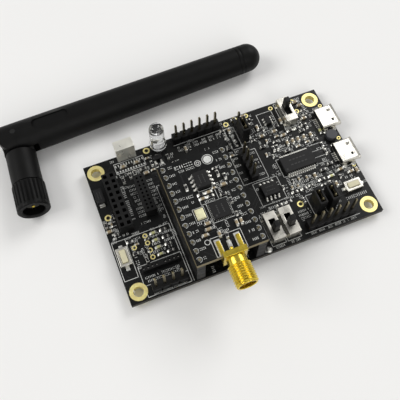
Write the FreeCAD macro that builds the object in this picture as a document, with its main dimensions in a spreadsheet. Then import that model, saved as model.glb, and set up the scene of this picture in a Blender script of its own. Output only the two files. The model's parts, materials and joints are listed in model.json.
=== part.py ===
"""Receiver board with a plug-in radio module, two USB ports and a detached hinged antenna.

Frame: millimetres, +Z up.  The origin is the centre of the four mounting holes on the
underside of the main board.  X runs along the long edge of the board and +Y is the edge
that carries the infrared receiver and the clear lamp.  The antenna lies on the same
surface as the solder tails of the board.
"""
import FreeCAD, Part
import os
import re

import Sketcher

doc = FreeCAD.newDocument("ReceiverBoard")
sheet = doc.addObject("Spreadsheet::Sheet", "Sizes")

SIZES = [
    ("board_length", 77.5, "main board along X"),
    ("board_width", 45.5, "main board along Y"),
    ("board_thickness", 1.6, "main board"),
    ("hole_inset", 3.1, "mounting hole centre from both board edges"),
    ("mounting_hole_radius", 1.5, "finished mounting hole"),
    ("plating_wall", 0.1, "plated barrel inside a mounting hole"),
    ("ring_radius", 2.6, "gold ring round a mounting hole"),
    ("ring_lip", 0.05, "gold ring proud of the board"),
    ("tail_drop", 1.5, "solder tails below the main board"),
    ("drill_clearance", 0.05, "drill over the corner of a square pin, radial"),
    ("header_pitch", 2.54, "pin headers and module rows"),
    ("header_pin", 0.64, "side of a square header pin"),
    ("strip_width", 2.5, "plastic strip of a header"),
    ("strip_height", 2.5, "plastic strip of a header"),
    ("strip_notch", 0.55, "notch between two header cells"),
    ("strip_trim", 0.04, "strip shorter than its cells"),
    ("pin_rise", 8.5, "header pin tips above the main board"),
    ("rear_header_x", 36.1, "six pin header centre from the left edge"),
    ("rear_header_y", 1.25, "six pin header centre from the rear edge"),
    ("corner_header_x", 15.6, "corner header centre from the right edge"),
    ("corner_header_y", 3.15, "corner header centre from the front edge"),
    ("front_header_x", 11.96, "four pin header centre from the left edge"),
    ("front_header_y", 2.35, "four pin header centre from the front edge"),
    ("mid_header_x", 30.85, "middle header centre from the right edge"),
    ("mid_header_y", 17.85, "middle header centre from the rear edge"),
    ("select_rear_x", 28.35, "rear jumper header from the right edge"),
    ("select_rear_y", 6.34, "rear jumper header centre from the rear edge"),
    ("select_left_x", 17.75, "left jumper header from the right edge"),
    ("select_right_x", 13.85, "right jumper header from the right edge"),
    ("select_front_y", 8.1, "front jumper headers centre from the front edge"),
    ("cap_gap", 0.33, "inside of a jumper cap round its pins"),
    ("cap_height", 5.2, "jumper cap"),
    ("cap_wall", 0.55, "jumper cap"),
    ("socket_height", 8.5, "tall sockets under the module"),
    ("socket_width", 2.5, "tall sockets under the module"),
    ("socket_hole_gap", 0.13, "entry of a tall socket round its pin"),
    ("socket_hole_depth", 6.4, "entry of a tall socket"),
    ("contact_pin", 0.5, "side of a socket contact post"),
    ("contact_rise", 1.2, "contact post above the main board"),
    ("dual_socket_x", 6.15, "coarse dual socket centre from the left edge"),
    ("dual_socket_y", 15.55, "coarse dual socket centre from the rear edge"),
    ("dual_pitch", 2.0, "coarse dual socket"),
    ("dual_height", 4.3, "coarse dual socket"),
    ("dual_hole", 1.1, "square entry of the coarse dual socket"),
    ("fine_socket_x", 14.35, "fine dual socket centre from the left edge"),
    ("fine_socket_y", 16.25, "fine dual socket centre from the rear edge"),
    ("fine_pitch", 1.27, "fine sockets"),
    ("fine_margin", 1.07, "fine dual socket outside its outer contacts"),
    ("fine_height", 4.0, "fine dual socket"),
    ("fine_hole", 0.6, "square entry of a fine socket"),
    ("fine_contact", 0.35, "side of a fine contact post"),
    ("low_socket_x", 11.65, "low single socket centre from the left edge"),
    ("low_socket_y", 8.2, "low single socket centre from the front edge"),
    ("low_margin", 0.52, "low single socket outside its end contacts"),
    ("low_width", 1.6, "low single socket"),
    ("low_height", 2.0, "low single socket"),
    ("module_x", 29.4, "module centre from the left edge"),
    ("module_gap", 0.05, "module front edge behind the main board front edge"),
    ("module_side", 1.26, "module board outside its pin rows"),
    ("module_end", 0.16, "module board past the last cells of its rows"),
    ("module_thickness", 1.6, "module board"),
    ("module_row_spacing", 17.78, "between the two module pin rows"),
    ("module_pin_count", 12, "pins in one module row"),
    ("module_pin_above", 0.8, "module pins above the module board"),
    ("module_pin_gap", 0.5, "module pin tips above the floor of their entries"),
    ("sma_flange", 6.6, "square flange of the jack"),
    ("sma_flange_depth", 1.6, "flange along Y"),
    ("sma_leg", 1.05, "side of a jack leg"),
    ("sma_leg_length", 4.2, "jack legs along Y"),
    ("sma_thread_radius", 3.175, "outside of the jack thread"),
    ("sma_neck_radius", 2.7, "plain neck behind the thread"),
    ("sma_neck_length", 2.1, "plain neck behind the thread"),
    ("sma_thread_length", 5.8, "threaded length of the jack"),
    ("sma_bore_radius", 2.3, "mouth of the jack"),
    ("sma_bore_depth", 5.4, "mouth of the jack"),
    ("sma_insulator_radius", 2.05, "white insulator in the jack"),
    ("sma_insulator_inset", 2.2, "insulator face behind the mouth of the jack"),
    ("sma_contact_radius", 0.38, "centre conductor"),
    ("sma_contact_gap", 0.02, "centre conductor above the module board"),
    ("sma_contact_reach", 3.2, "centre conductor over the module board"),
    ("tulip_wall", 0.18, "female centre contact round the plug pin"),
    ("tulip_start", 1.0, "female centre contact behind the thread"),
    ("tulip_inset", 3.4, "female centre contact shorter than the thread"),
    ("tulip_floor", 1.2, "solid back of the female centre contact"),
    ("receiver_x", 13.45, "infrared receiver centre from the left edge"),
    ("receiver_y", 0.6, "infrared receiver centre from the rear edge"),
    ("receiver_width", 5.8, "infrared receiver along X"),
    ("receiver_depth", 3.3, "infrared receiver along Y"),
    ("receiver_height", 6.6, "infrared receiver"),
    ("receiver_gap", 0.4, "infrared receiver above the main board"),
    ("receiver_lens", 1.7, "radius of its lens"),
    ("receiver_lens_rise", 3.63, "centre of the lens above the receiver's bottom"),
    ("receiver_lens_sink", 1.02, "centre of the lens behind the shield face"),
    ("receiver_lens_gap", 0.15, "shield window round the lens"),
    ("receiver_pitch", 2.0, "receiver leads"),
    ("receiver_lead_inset", 0.5, "receiver leads in front of the receiver's centre"),
    ("receiver_lead_hold", 1.0, "receiver leads inside the receiver"),
    ("shield_wall", 0.2, "sheet of the receiver shield"),
    ("lead_side", 0.5, "square leads of the lamp and the receiver"),
    ("lamp_x", 23.75, "clear lamp centre from the left edge"),
    ("lamp_y", 1.35, "clear lamp centre from the rear edge"),
    ("lamp_radius", 2.5, "clear lamp"),
    ("lamp_step", 0.15, "rim of the clear lamp outside its barrel"),
    ("lamp_rim", 1.0, "height of that rim"),
    ("lamp_height", 10.2, "clear lamp"),
    ("lamp_gap", 1.6, "lamp above the main board"),
    ("lamp_lead_hold", 4.0, "lamp leads inside the lamp"),
    ("usb_x", 1.68, "USB shell centre inside the right edge"),
    ("usb_rear_y", 11.75, "rear USB port from the rear edge"),
    ("usb_port_gap", 5.3, "between the two USB shells"),
    ("usb_length", 5.8, "USB shell along X"),
    ("usb_width", 7.6, "USB shell along Y"),
    ("usb_height", 2.7, "USB shell"),
    ("usb_wall", 0.3, "USB shell sheet"),
    ("usb_tongue_width", 3.7, "USB tongue"),
    ("usb_tongue_length", 3.3, "USB tongue"),
    ("usb_tongue_thickness", 0.6, "USB tongue"),
    ("usb_tongue_drop", 0.45, "USB tongue below the roof of its shell"),
    ("usb_back", 1.3, "plastic block at the back of a port"),
    ("switch_width", 3.7, "slide switch along X"),
    ("switch_length", 8.6, "slide switch along Y"),
    ("switch_height", 3.5, "slide switch housing"),
    ("switch_wall", 0.25, "slide switch sheet"),
    ("switch_base", 0.8, "plastic base in a slide switch"),
    ("switch_travel", 2.0, "slide switch knob"),
    ("knob_side", 1.8, "knob stem along Y"),
    ("knob_width", 1.6, "knob stem along X"),
    ("knob_rise", 3.8, "knob above its housing"),
    ("knob_gap", 0.15, "slot over the knob, each side"),
    ("slider_length", 4.0, "slider inside the housing"),
    ("slider_gap", 0.3, "slider to the housing walls and to the base"),
    ("slider_height", 1.2, "slider inside the housing"),
    ("switch_left_x", 32.55, "left slide switch from the right edge"),
    ("switch_right_x", 27.75, "right slide switch from the right edge"),
    ("switch_front_y", 6.2, "front slide switches from the front edge"),
    ("switch_power_x", 12.55, "power switch from the right edge"),
    ("switch_power_y", 5.35, "power switch from the rear edge"),
    ("button_height", 1.55, "push button frame"),
    ("button_rise", 0.4, "plunger above its frame"),
    ("button_floor", 0.35, "frame under the plunger pocket"),
    ("button_rest", 0.1, "pressed plunger above its floor"),
    ("button_travel", 0.25, "plunger"),
    ("button_gap", 0.1, "pocket over the plunger, each side"),
    ("side_button_x", 2.55, "left button centre from the left edge"),
    ("side_button_y", 13.75, "left button centre from the front edge"),
    ("side_button_width", 3.4, "left button along X"),
    ("side_button_length", 5.6, "left button along Y"),
    ("corner_button_x", 4.85, "right button centre from the right edge"),
    ("corner_button_y", 10.05, "right button centre from the front edge"),
    ("corner_button_width", 5.2, "right button along X"),
    ("corner_button_length", 3.3, "right button along Y"),
    ("button_rim", 0.85, "frame round a plunger"),
    ("bridge_x", 16.55, "bridge chip centre from the right edge"),
    ("bridge_y", 22.2, "bridge chip centre from the rear edge"),
    ("bridge_length", 10.2, "bridge chip along X"),
    ("bridge_width", 5.3, "bridge chip along Y"),
    ("bridge_pitch", 0.65, "bridge chip leads"),
    ("memory_x", 28.25, "memory chip centre from the right edge"),
    ("memory_y", 17.85, "memory chip centre from the front edge"),
    ("soic_length", 4.9, "eight lead chip"),
    ("soic_width", 3.9, "eight lead chip"),
    ("soic_pitch", 1.27, "eight lead chip"),
    ("chip_height", 1.6, "leaded chip body"),
    ("chip_gap", 0.1, "chip body above its board"),
    ("lead_reach", 1.05, "gull wing lead beyond the chip body"),
    ("lead_sheet", 0.2, "gull wing lead"),
    ("lead_rise", 0.88, "top of a chip lead above its board"),
    ("small_lead_rise", 0.605, "top of a regulator or transistor lead"),
    ("narrow_lead", 0.3, "width of a bridge chip lead"),
    ("wide_lead", 0.42, "width of an eight lead chip lead"),
    ("regulator_x", 18.85, "regulator centre from the right edge"),
    ("regulator_y", 5.45, "regulator centre from the rear edge"),
    ("transistor_x", 21.95, "transistor centre from the left edge"),
    ("transistor_y", 5.15, "transistor centre from the rear edge"),
    ("small_chip_length", 2.9, "regulator and transistor"),
    ("small_chip_width", 1.6, "regulator and transistor"),
    ("small_chip_height", 1.1, "regulator and transistor"),
    ("small_chip_pitch", 0.95, "regulator and transistor"),
    ("small_lead_reach", 0.6, "regulator and transistor"),
    ("diode_x", 1.8, "power diode centre from the left edge"),
    ("diode_y", 11.6, "power diode centre from the rear edge"),
    ("diode_width", 2.5, "power diode along X"),
    ("diode_length", 4.6, "power diode along Y"),
    ("diode_height", 2.1, "power diode"),
    ("terminal_width", 1.5, "power diode terminals"),
    ("terminal_reach", 0.5, "power diode terminals"),
    ("terminal_height", 1.1, "power diode terminals"),
    ("inductor_x", 2.95, "inductor centre from the right edge"),
    ("inductor_gap", 0.4, "inductor to the rear USB shell"),
    ("inductor_radius", 1.8, "inductor"),
    ("inductor_height", 1.7, "inductor"),
    ("chip_part_length", 1.6, "small resistor or capacitor"),
    ("chip_part_width", 0.8, "small resistor or capacitor"),
    ("capacitor_height", 0.8, "small capacitor"),
    ("resistor_height", 0.5, "small resistor"),
    ("status_lamp_height", 0.6, "chip lamp"),
    ("radio_side", 5.0, "radio chip"),
    ("radio_height", 0.85, "radio chip"),
    ("crystal_width", 2.5, "crystal along X"),
    ("crystal_length", 3.2, "crystal along Y"),
    ("crystal_height", 0.7, "crystal"),
    ("radio_x", 1.55, "radio chip from the module centre"),
    ("radio_y", -2.85, "radio chip from the module centre"),
    ("flash_x", 0.05, "flash chip from the module centre"),
    ("flash_y", 6.9, "flash chip from the module centre"),
    ("crystal_x", -4.0, "crystal from the module centre"),
    ("crystal_y", -2.2, "crystal from the module centre"),
    ("hinge_x", -54.5, "antenna hinge from the board centre"),
    ("hinge_y", 38.3, "antenna hinge from the board centre"),
    ("whip_heading", 1.9, "whip direction, degrees from +X"),
    ("base_heading", -92.8, "antenna base direction, degrees from +X"),
    ("whip_radius", 5.3, "whip at the hinge"),
    ("whip_tip_radius", 4.5, "whip at its tip"),
    ("whip_length", 81.6, "hinge axis to tip"),
    ("tongue_thickness", 3.5, "tongue of the antenna base"),
    ("tongue_radius", 4.4, "rounded end of the tongue"),
    ("hinge_gap", 0.1, "tongue in its slot, each side"),
    ("shoulder_gap", 0.35, "antenna base behind the whip"),
    ("elbow_pin_radius", 0.8, "hinge pin"),
    ("pin_sink", 0.1, "hinge pin ends below the whip surface"),
    ("hinge_bore_gap", 0.05, "tongue bore over the hinge pin, radial"),
    ("base_radius", 4.5, "antenna base barrel"),
    ("base_end", 16.2, "end of the barrel from the hinge"),
    ("nut_wall", 0.97, "antenna nut outside the lip of its sleeve"),
    ("nut_length", 8.5, "antenna nut"),
    ("nut_gap", 0.2, "barrel to nut along the axis"),
    ("nut_band", 1.3, "plain band at the mouth of the nut"),
    ("nut_chamfer", 0.3, "edges of the nut"),
    ("rib_count", 24, "grooves round the nut"),
    ("rib_groove_radius", 0.34, "groove between two ribs of the nut"),
    ("rib_groove_offset", 0.12, "centre of a groove outside the nut"),
    ("thread_clearance", 0.025, "thread bore of the nut over the jack thread, radial"),
    ("sleeve_step", 0.2, "sleeve that carries the nut outside the thread bore"),
    ("sleeve_gap", 0.08, "nut bore over the sleeve, radial"),
    ("sleeve_length", 2.6, "sleeve before its lip"),
    ("lip_step", 0.35, "retaining lip outside the sleeve"),
    ("lip_length", 0.8, "retaining lip of the sleeve"),
    ("lip_back_gap", 0.2, "nut shoulder behind the lip"),
    ("lip_front_gap", 0.3, "nut shoulder in front of the lip"),
    ("plug_clearance", 0.1, "plug insulator in the mouth of the jack, radial"),
    ("plug_inset", 2.2, "plug insulator behind the mouth of the nut"),
    ("plug_seat", 1.0, "plug insulator inside the sleeve"),
    ("plug_contact_radius", 0.46, "centre pin of the antenna plug"),
    ("plug_contact_start", 1.4, "centre pin inside the sleeve"),
    ("plug_contact_proud", 0.8, "centre pin past the plug insulator"),
    ("recess_start", 2.2, "moulded recess behind the fork of the whip"),
    ("recess_length", 8.0, "moulded recess between its end radii"),
    ("recess_radius", 1.7, "ends of the moulded recess"),
    ("recess_depth", 0.75, "moulded recess"),
    ("mark_start", 8.2, "first ring groove from the tip of the whip"),
    ("mark_pitch", 1.3, "between the two ring grooves"),
    ("mark_width", 0.35, "ring groove"),
    ("mark_depth", 0.12, "ring groove"),
    ("cavity_radius", 2.6, "hollow of the whip"),
    ("cavity_start", 6.0, "hollow of the whip behind its fork"),
    ("cavity_end", 6.0, "hollow of the whip from its tip"),
    ("radiator_gap", 0.4, "metal sleeve in the hollow, radial"),
    ("radiator_wall", 0.3, "metal sleeve inside the whip"),
    ("radiator_start", 8.0, "metal sleeve from the near end of the hollow"),
    ("radiator_end", 12.3, "metal sleeve from the far end of the hollow"),
    ("cut_past", 1.0, "cutting solids past the faces that they open"),
    ("join", 0.2, "overlap of two bodies that fuse into one"),
]
ALIASES = {alias for alias, value, note in SIZES}
for line, (alias, value, note) in enumerate(SIZES, start=1):
    sheet.set(f"A{line}", str(value))
    sheet.setAlias(f"A{line}", alias)
    sheet.set(f"B{line}", note)
doc.recompute()

LEFT = "-board_length / 2"
RIGHT = "board_length / 2"
FRONT = "-board_width / 2"
REAR = "board_width / 2"
BOARD_TOP = "board_thickness"
USB_REAR_Y = f"{REAR} - usb_rear_y"
FLOOR = "-tail_drop"
SOCKET_TOP = "board_thickness + socket_height"
MODULE_BOTTOM = SOCKET_TOP + " + strip_height"
MODULE_TOP = MODULE_BOTTOM + " + module_thickness"
ROW_LENGTH = "header_pitch * round(module_pin_count)"
MODULE_LENGTH = ROW_LENGTH + " + 2 * module_end"
MODULE_X = f"{LEFT} + module_x"
MODULE_FRONT = f"{FRONT} + module_gap"
MODULE_Y = f"{MODULE_FRONT} + ({MODULE_LENGTH}) / 2"
TULIP_RADIUS = "plug_contact_radius + tulip_wall"
THREAD_BORE = "sma_thread_radius + thread_clearance"
SLEEVE_RADIUS = THREAD_BORE + " + sleeve_step"
LIP_RADIUS = SLEEVE_RADIUS + " + lip_step"
NUT_RADIUS = LIP_RADIUS + " + sleeve_gap + nut_wall"
NUT_START = "base_end + nut_gap"
NUT_END = NUT_START + " + nut_length"
PLUG_RADIUS = "sma_bore_radius - plug_clearance"
WHIP_AXIS = f"max(whip_radius; base_radius; {NUT_RADIUS}) - tail_drop"
Z_TO_MINUS_Y = FreeCAD.Rotation(FreeCAD.Vector(1, 0, 0), 90)
Z_TO_X = FreeCAD.Rotation(FreeCAD.Vector(0, 1, 0), 90)
UPRIGHT = FreeCAD.Rotation()

nodes = []
drills = []
module_drills = []


# ---------------------------------------------------------------- helpers

def formula(text):
    """Sheet formula for a text that uses the aliases as plain words."""
    return re.sub(r"[a-z][a-z0-9_]*",
                  lambda word: "Sizes." + word.group(0) if word.group(0) in ALIASES else word.group(0),
                  str(text))


def number(text):
    """Present value of such a text."""
    found = sheet.evalExpression(formula(text))
    return float(getattr(found, "Value", found))


def bind(item, sizes):
    """Bind each property named in sizes to its formula."""
    for path, text in sizes.items():
        item.setExpression(path, formula(text))
    return item


def put(item, x, y, z, turn=UPRIGHT):
    """Place an object, turned, at a bound position."""
    item.Placement = FreeCAD.Placement(FreeCAD.Vector(0, 0, 0), turn)
    return bind(item, {"Placement.Base.x": x, "Placement.Base.y": y, "Placement.Base.z": z})


def block(name, length, width, height, x="0", y="0", z="0"):
    """Box centred on x, y with its bottom at z."""
    item = doc.addObject("Part::Box", name)
    bind(item, {"Length": length, "Width": width, "Height": height})
    return put(item, f"({x}) - ({length}) / 2", f"({y}) - ({width}) / 2", z)


def rod(name, radius, height, x="0", y="0", z="0", turn=UPRIGHT):
    """Cylinder that starts at x, y, z and runs along the turned Z axis."""
    item = doc.addObject("Part::Cylinder", name)
    bind(item, {"Radius": radius, "Height": height})
    return put(item, x, y, z, turn)


def ball(name, radius, x="0", y="0", z="0"):
    item = doc.addObject("Part::Sphere", name)
    bind(item, {"Radius": radius})
    return put(item, x, y, z)


def group(name, items):
    """One or several solids as one object with a placement of its own."""
    item = doc.addObject("Part::Compound", name)
    item.Links = items
    return item


def cut(name, base, tools):
    item = doc.addObject("Part::Cut", name)
    item.Base = base
    item.Tool = tools[0] if len(tools) == 1 else group(name + "_tools", tools)
    return item


def fuse(name, items):
    item = doc.addObject("Part::MultiFuse", name)
    item.Shapes = items
    item.Refine = True
    return item


def common(name, first, second):
    item = doc.addObject("Part::Common", name)
    item.Base = first
    item.Tool = second
    return item


def copies(name, master, places):
    """Linked copies of a master at (x, y, z, turn in degrees) places."""
    links = []
    for place, (x, y, z, angle) in enumerate(places):
        link = doc.addObject("App::Link", f"{name}_copy{place}")
        link.LinkedObject = master
        link.LinkTransform = False
        put(link, x, y, z, FreeCAD.Rotation(FreeCAD.Vector(0, 0, 1), angle))
        links.append(link)
    return links


def node(item, label):
    """Name a finished sub-part."""
    item.Label = label
    nodes.append(item)
    return item


def centred(count, pitch):
    """Offsets of a centred row, as texts."""
    return [f"({pitch}) * {place - (count - 1) / 2:g}" for place in range(count)]


def drill(side, x, y, into=drills):
    """Round hole for a square pin of this side."""
    into.append((f"({side}) / sqrt(2) + drill_clearance", x, y))


def origin_plane(body, role):
    return next(item for item in body.Origin.OriginFeatures if item.Role == role)


def new_sketch(body, name, role):
    item = body.newObject("Sketcher::SketchObject", name)
    item.AttachmentSupport = (origin_plane(body, role), [""])
    item.MapMode = "FlatFace"
    return item


def add_rectangle(item, length, width):
    """Rectangle centred on the sketch origin, with bound sides."""
    half_x = number(length) / 2
    half_y = number(width) / 2
    corners = [FreeCAD.Vector(-half_x, -half_y, 0), FreeCAD.Vector(half_x, -half_y, 0),
               FreeCAD.Vector(half_x, half_y, 0), FreeCAD.Vector(-half_x, half_y, 0)]
    first = item.GeometryCount
    for place in range(4):
        item.addGeometry(Part.LineSegment(corners[place], corners[(place + 1) % 4]), False)
    for place in range(4):
        item.addConstraint(Sketcher.Constraint("Coincident", first + place, 2,
                                               first + (place + 1) % 4, 1))
    for place in (0, 2):
        item.addConstraint(Sketcher.Constraint("Horizontal", first + place))
        item.addConstraint(Sketcher.Constraint("Vertical", first + place + 1))
    item.addConstraint(Sketcher.Constraint("Symmetric", first, 1, first + 2, 1, -1, 1))
    for kind, edge, start, end, text in (("DistanceX", first, 1, 2, length),
                                         ("DistanceY", first + 1, 1, 2, width)):
        place = item.addConstraint(Sketcher.Constraint(kind, edge, start, edge, end, number(text)))
        item.setExpression(f"Constraints[{place}]", formula(text))


def add_circle(item, x, y, radius):
    """Circle with a bound centre and radius."""
    centre = FreeCAD.Vector(number(x), number(y), 0)
    edge = item.addGeometry(Part.Circle(centre, FreeCAD.Vector(0, 0, 1), number(radius)), False)
    for kind, text, value in (("DistanceX", x, centre.x), ("DistanceY", y, centre.y)):
        place = item.addConstraint(Sketcher.Constraint(kind, -1, 1, edge, 3, value))
        item.setExpression(f"Constraints[{place}]", formula(text))
    place = item.addConstraint(Sketcher.Constraint("Radius", edge, number(radius)))
    item.setExpression(f"Constraints[{place}]", formula(radius))


def add_outline(item, points):
    """Closed outline of straight runs through bound points."""
    spots = [FreeCAD.Vector(number(x), number(y), 0) for x, y in points]
    count = len(points)
    first = item.GeometryCount
    for place in range(count):
        item.addGeometry(Part.LineSegment(spots[place], spots[(place + 1) % count]), False)
    for place in range(count):
        item.addConstraint(Sketcher.Constraint("Coincident", first + place, 2,
                                               first + (place + 1) % count, 1))
    for place, (x, y) in enumerate(points):
        for kind, text, value, axis in (("DistanceX", x, spots[place].x, -2),
                                        ("DistanceY", y, spots[place].y, -1)):
            if text == "0":
                item.addConstraint(Sketcher.Constraint("PointOnObject", first + place, 1, axis))
                continue
            made = item.addConstraint(Sketcher.Constraint(kind, -1, 1, first + place, 1, value))
            item.setExpression(f"Constraints[{made}]", formula(text))


def plate_body(name, length, width, thickness, holes):
    """Flat board as a padded sketch with pocketed round holes."""
    body = doc.addObject("PartDesign::Body", name)
    outline = new_sketch(body, name + "_outline", "XY_Plane")
    add_rectangle(outline, length, width)
    pad = body.newObject("PartDesign::Pad", name + "_pad")
    pad.Profile = outline
    bind(pad, {"Length": thickness})
    if holes:
        openings = new_sketch(body, name + "_openings", "XY_Plane")
        for x, y, radius in holes:
            add_circle(openings, x, y, radius)
        pocket = body.newObject("PartDesign::Pocket", name + "_pocket")
        pocket.Profile = openings
        pocket.Type = "ThroughAll"
        pocket.Midplane = True
        body.Tip = pocket
    return body


def revolved_body(name, points):
    """Body turned about its own X axis from a half section in the XY plane."""
    body = doc.addObject("PartDesign::Body", name)
    section = new_sketch(body, name + "_section", "XY_Plane")
    add_outline(section, points)
    turned = body.newObject("PartDesign::Revolution", name + "_turned")
    turned.Profile = section
    turned.ReferenceAxis = (section, ["H_Axis"])
    turned.Angle = 360
    body.Tip = turned
    return body


def drilled(label, blank, holes, thickness, z):
    """The blank with its round pin holes, as a finished sub-part."""
    tools = [rod(f"{label}_drill{place}", radius, f"{thickness} + 2 * cut_past", x, y, f"{z} - cut_past")
             for place, (radius, x, y) in enumerate(holes)]
    return node(cut(label + "_drilled", blank, tools), label)


# ---------------------------------------------------------------- pin headers

def header(label, count, x, y, along="x"):
    """Plastic strip and square pins of one straight header."""
    offsets = centred(count, "header_pitch")
    pins = []
    for place, offset in enumerate(offsets):
        pin_x = f"{x} + {offset}" if along == "x" else x
        pin_y = y if along == "x" else f"{y} + {offset}"
        drill("header_pin", pin_x, pin_y)
        pins.append(block(f"{label}_pin{place}", "header_pin", "header_pin",
                          "tail_drop + board_thickness + pin_rise", pin_x, pin_y, FLOOR))
    length = f"header_pitch * {count} - strip_trim"
    size = (length, "strip_width") if along == "x" else ("strip_width", length)
    bar = block(f"{label}_bar", size[0], size[1], "strip_height", x, y, BOARD_TOP)
    notches = []
    for place in range(1, count):
        shift = f"header_pitch * {place - count / 2:g}"
        for side in ("- strip_width / 2", "+ strip_width / 2"):
            spot_x = f"{x} + {shift}" if along == "x" else f"{x} {side}"
            spot_y = f"{y} {side}" if along == "x" else f"{y} + {shift}"
            notch = doc.addObject("Part::Box", f"{label}_notch")
            bind(notch, {"Length": "strip_notch", "Width": "strip_notch",
                         "Height": "strip_height + 2 * cut_past"})
            put(notch, spot_x, f"({spot_y}) - strip_notch / sqrt(2)", f"{BOARD_TOP} - cut_past",
                FreeCAD.Rotation(FreeCAD.Vector(0, 0, 1), 45))
            notches.append(notch)
    return cut(f"{label}_strip", bar, notches + pins), pins


def place_headers():
    """Two six pin and two four pin headers of the main board."""
    kinds = {
        "six_pin": (6, (("rear_header", f"{LEFT} + rear_header_x", f"{REAR} - rear_header_y", "x"),
                        ("corner_header", f"{RIGHT} - corner_header_x",
                         f"{FRONT} + corner_header_y", "x"))),
        "four_pin": (4, (("front_header", f"{LEFT} + front_header_x",
                          f"{FRONT} + front_header_y", "x"),
                         ("middle_header", f"{RIGHT} - mid_header_x",
                          f"{REAR} - mid_header_y", "y")))}
    for kind, (count, rows) in kinds.items():
        strips = []
        pins = []
        for label, x, y, along in rows:
            strip, row = header(label, count, x, y, along)
            strips.append(strip)
            pins += row
        node(group(f"{kind}_strip_set", strips), f"{kind}_header_strips")
        node(group(f"{kind}_pin_set", pins), f"{kind}_header_pins")


def jumper_cap(label, x, y):
    """Cap over two pins, open at the top and at the bottom."""
    bottom = f"{BOARD_TOP} + strip_height"
    inner_width = "header_pin + 2 * cap_gap"
    inner_length = "header_pitch + header_pin + 2 * cap_gap"
    shell = block(f"{label}_shell", f"{inner_width} + 2 * cap_wall", f"{inner_length} + 2 * cap_wall",
                  "cap_height", x, y, bottom)
    well = block(f"{label}_well", inner_width, inner_length, "cap_height + 2 * cut_past", x, y,
                 f"{bottom} - cut_past")
    node(cut(f"{label}_body", shell, [well]), label)


def place_selectors():
    """Three jumper headers and their caps."""
    rear_x = f"{RIGHT} - select_rear_x"
    rear_y = f"{REAR} - select_rear_y"
    front_y = f"{FRONT} + select_front_y"
    strips = []
    pins = []
    for label, count, x, y in (("selector_rear", 3, rear_x, rear_y),
                               ("selector_left", 2, f"{RIGHT} - select_left_x", front_y),
                               ("selector_right", 2, f"{RIGHT} - select_right_x", front_y)):
        strip, row = header(label, count, x, y, along="y")
        strips.append(strip)
        pins += row
    node(group("selector_strip_set", strips), "selector_strips")
    node(group("selector_pin_set", pins), "selector_pins")
    jumper_cap("jumper_cap_rear", rear_x, f"{rear_y} - header_pitch / 2")
    jumper_cap("jumper_cap_left", f"{RIGHT} - select_left_x", front_y)
    jumper_cap("jumper_cap_right", f"{RIGHT} - select_right_x", front_y)


# ---------------------------------------------------------------- sockets

def socket(label, spots, size, height, hole, hole_floor, post, x, y):
    """Socket housing with square entries above square contact posts."""
    posts = []
    wells = []
    for place, (dx, dy) in enumerate(spots):
        spot_x = f"{x} + {dx}"
        spot_y = f"{y} + {dy}"
        drill(post, spot_x, spot_y)
        posts.append(block(f"{label}_post{place}", post, post,
                           "tail_drop + board_thickness + contact_rise", spot_x, spot_y, FLOOR))
        wells.append(block(f"{label}_well{place}", hole, hole, f"{height} - ({hole_floor}) + cut_past",
                           spot_x, spot_y, f"{BOARD_TOP} + {hole_floor}"))
    bar = block(f"{label}_bar", size[0], size[1], height, x, y, BOARD_TOP)
    return cut(f"{label}_housing", bar, wells + posts), posts


def place_sockets():
    """Coarse dual, fine dual, low single and the two tall module sockets."""
    rows = centred(9, "dual_pitch")
    spots = [(f"dual_pitch * {side}", row) for side in (-0.5, 0.5) for row in rows]
    housing, posts = socket("coarse", spots, ("dual_pitch * 2", "dual_pitch * 9"), "dual_height",
                            "dual_hole", "contact_rise", "contact_pin",
                            f"{LEFT} + dual_socket_x", f"{REAR} - dual_socket_y")
    node(housing, "dual_socket_housing")
    node(group("coarse_posts", posts), "dual_socket_contacts")

    rows = centred(9, "fine_pitch")
    spots = [(f"fine_pitch * {side}", row) for side in (-0.5, 0.5) for row in rows]
    dual, dual_posts = socket("fine", spots,
                              ("fine_pitch + 2 * fine_margin", "fine_pitch * 8 + 2 * fine_margin"),
                              "fine_height", "fine_hole", "contact_rise", "fine_contact",
                              f"{LEFT} + fine_socket_x", f"{REAR} - fine_socket_y")
    steps = [place for place in range(-4, 5) if place != 0]
    spots = [(f"fine_pitch * {place}", "0") for place in steps]
    low, low_posts = socket("low", spots, ("fine_pitch * 8 + 2 * low_margin", "low_width"), "low_height",
                            "fine_hole", "contact_rise", "fine_contact",
                            f"{LEFT} + low_socket_x", f"{FRONT} + low_socket_y")
    node(group("fine_housing_set", [dual, low]), "fine_socket_housings")
    node(group("fine_post_set", dual_posts + low_posts), "fine_socket_contacts")

    rows = centred(round(number("module_pin_count")), "header_pitch")
    housings = []
    posts = []
    for name, side in (("left", "-"), ("right", "+")):
        spots = [("0", row) for row in rows]
        housing, row_posts = socket(f"tall_{name}", spots, ("socket_width", ROW_LENGTH),
                                    "socket_height", "header_pin + 2 * socket_hole_gap",
                                    "socket_height - socket_hole_depth", "contact_pin",
                                    f"{MODULE_X} {side} module_row_spacing / 2", MODULE_Y)
        housings.append(housing)
        posts += row_posts
    node(group("tall_socket_set", housings), "module_sockets")
    node(group("tall_post_set", posts), "module_socket_contacts")


# ---------------------------------------------------------------- board and rings

def mounting_spots():
    """The four mounting hole centres."""
    return [(f"{side_x} * (board_length / 2 - hole_inset)", f"{side_y} * (board_width / 2 - hole_inset)")
            for side_x in (-1, 1) for side_y in (-1, 1)]


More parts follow.
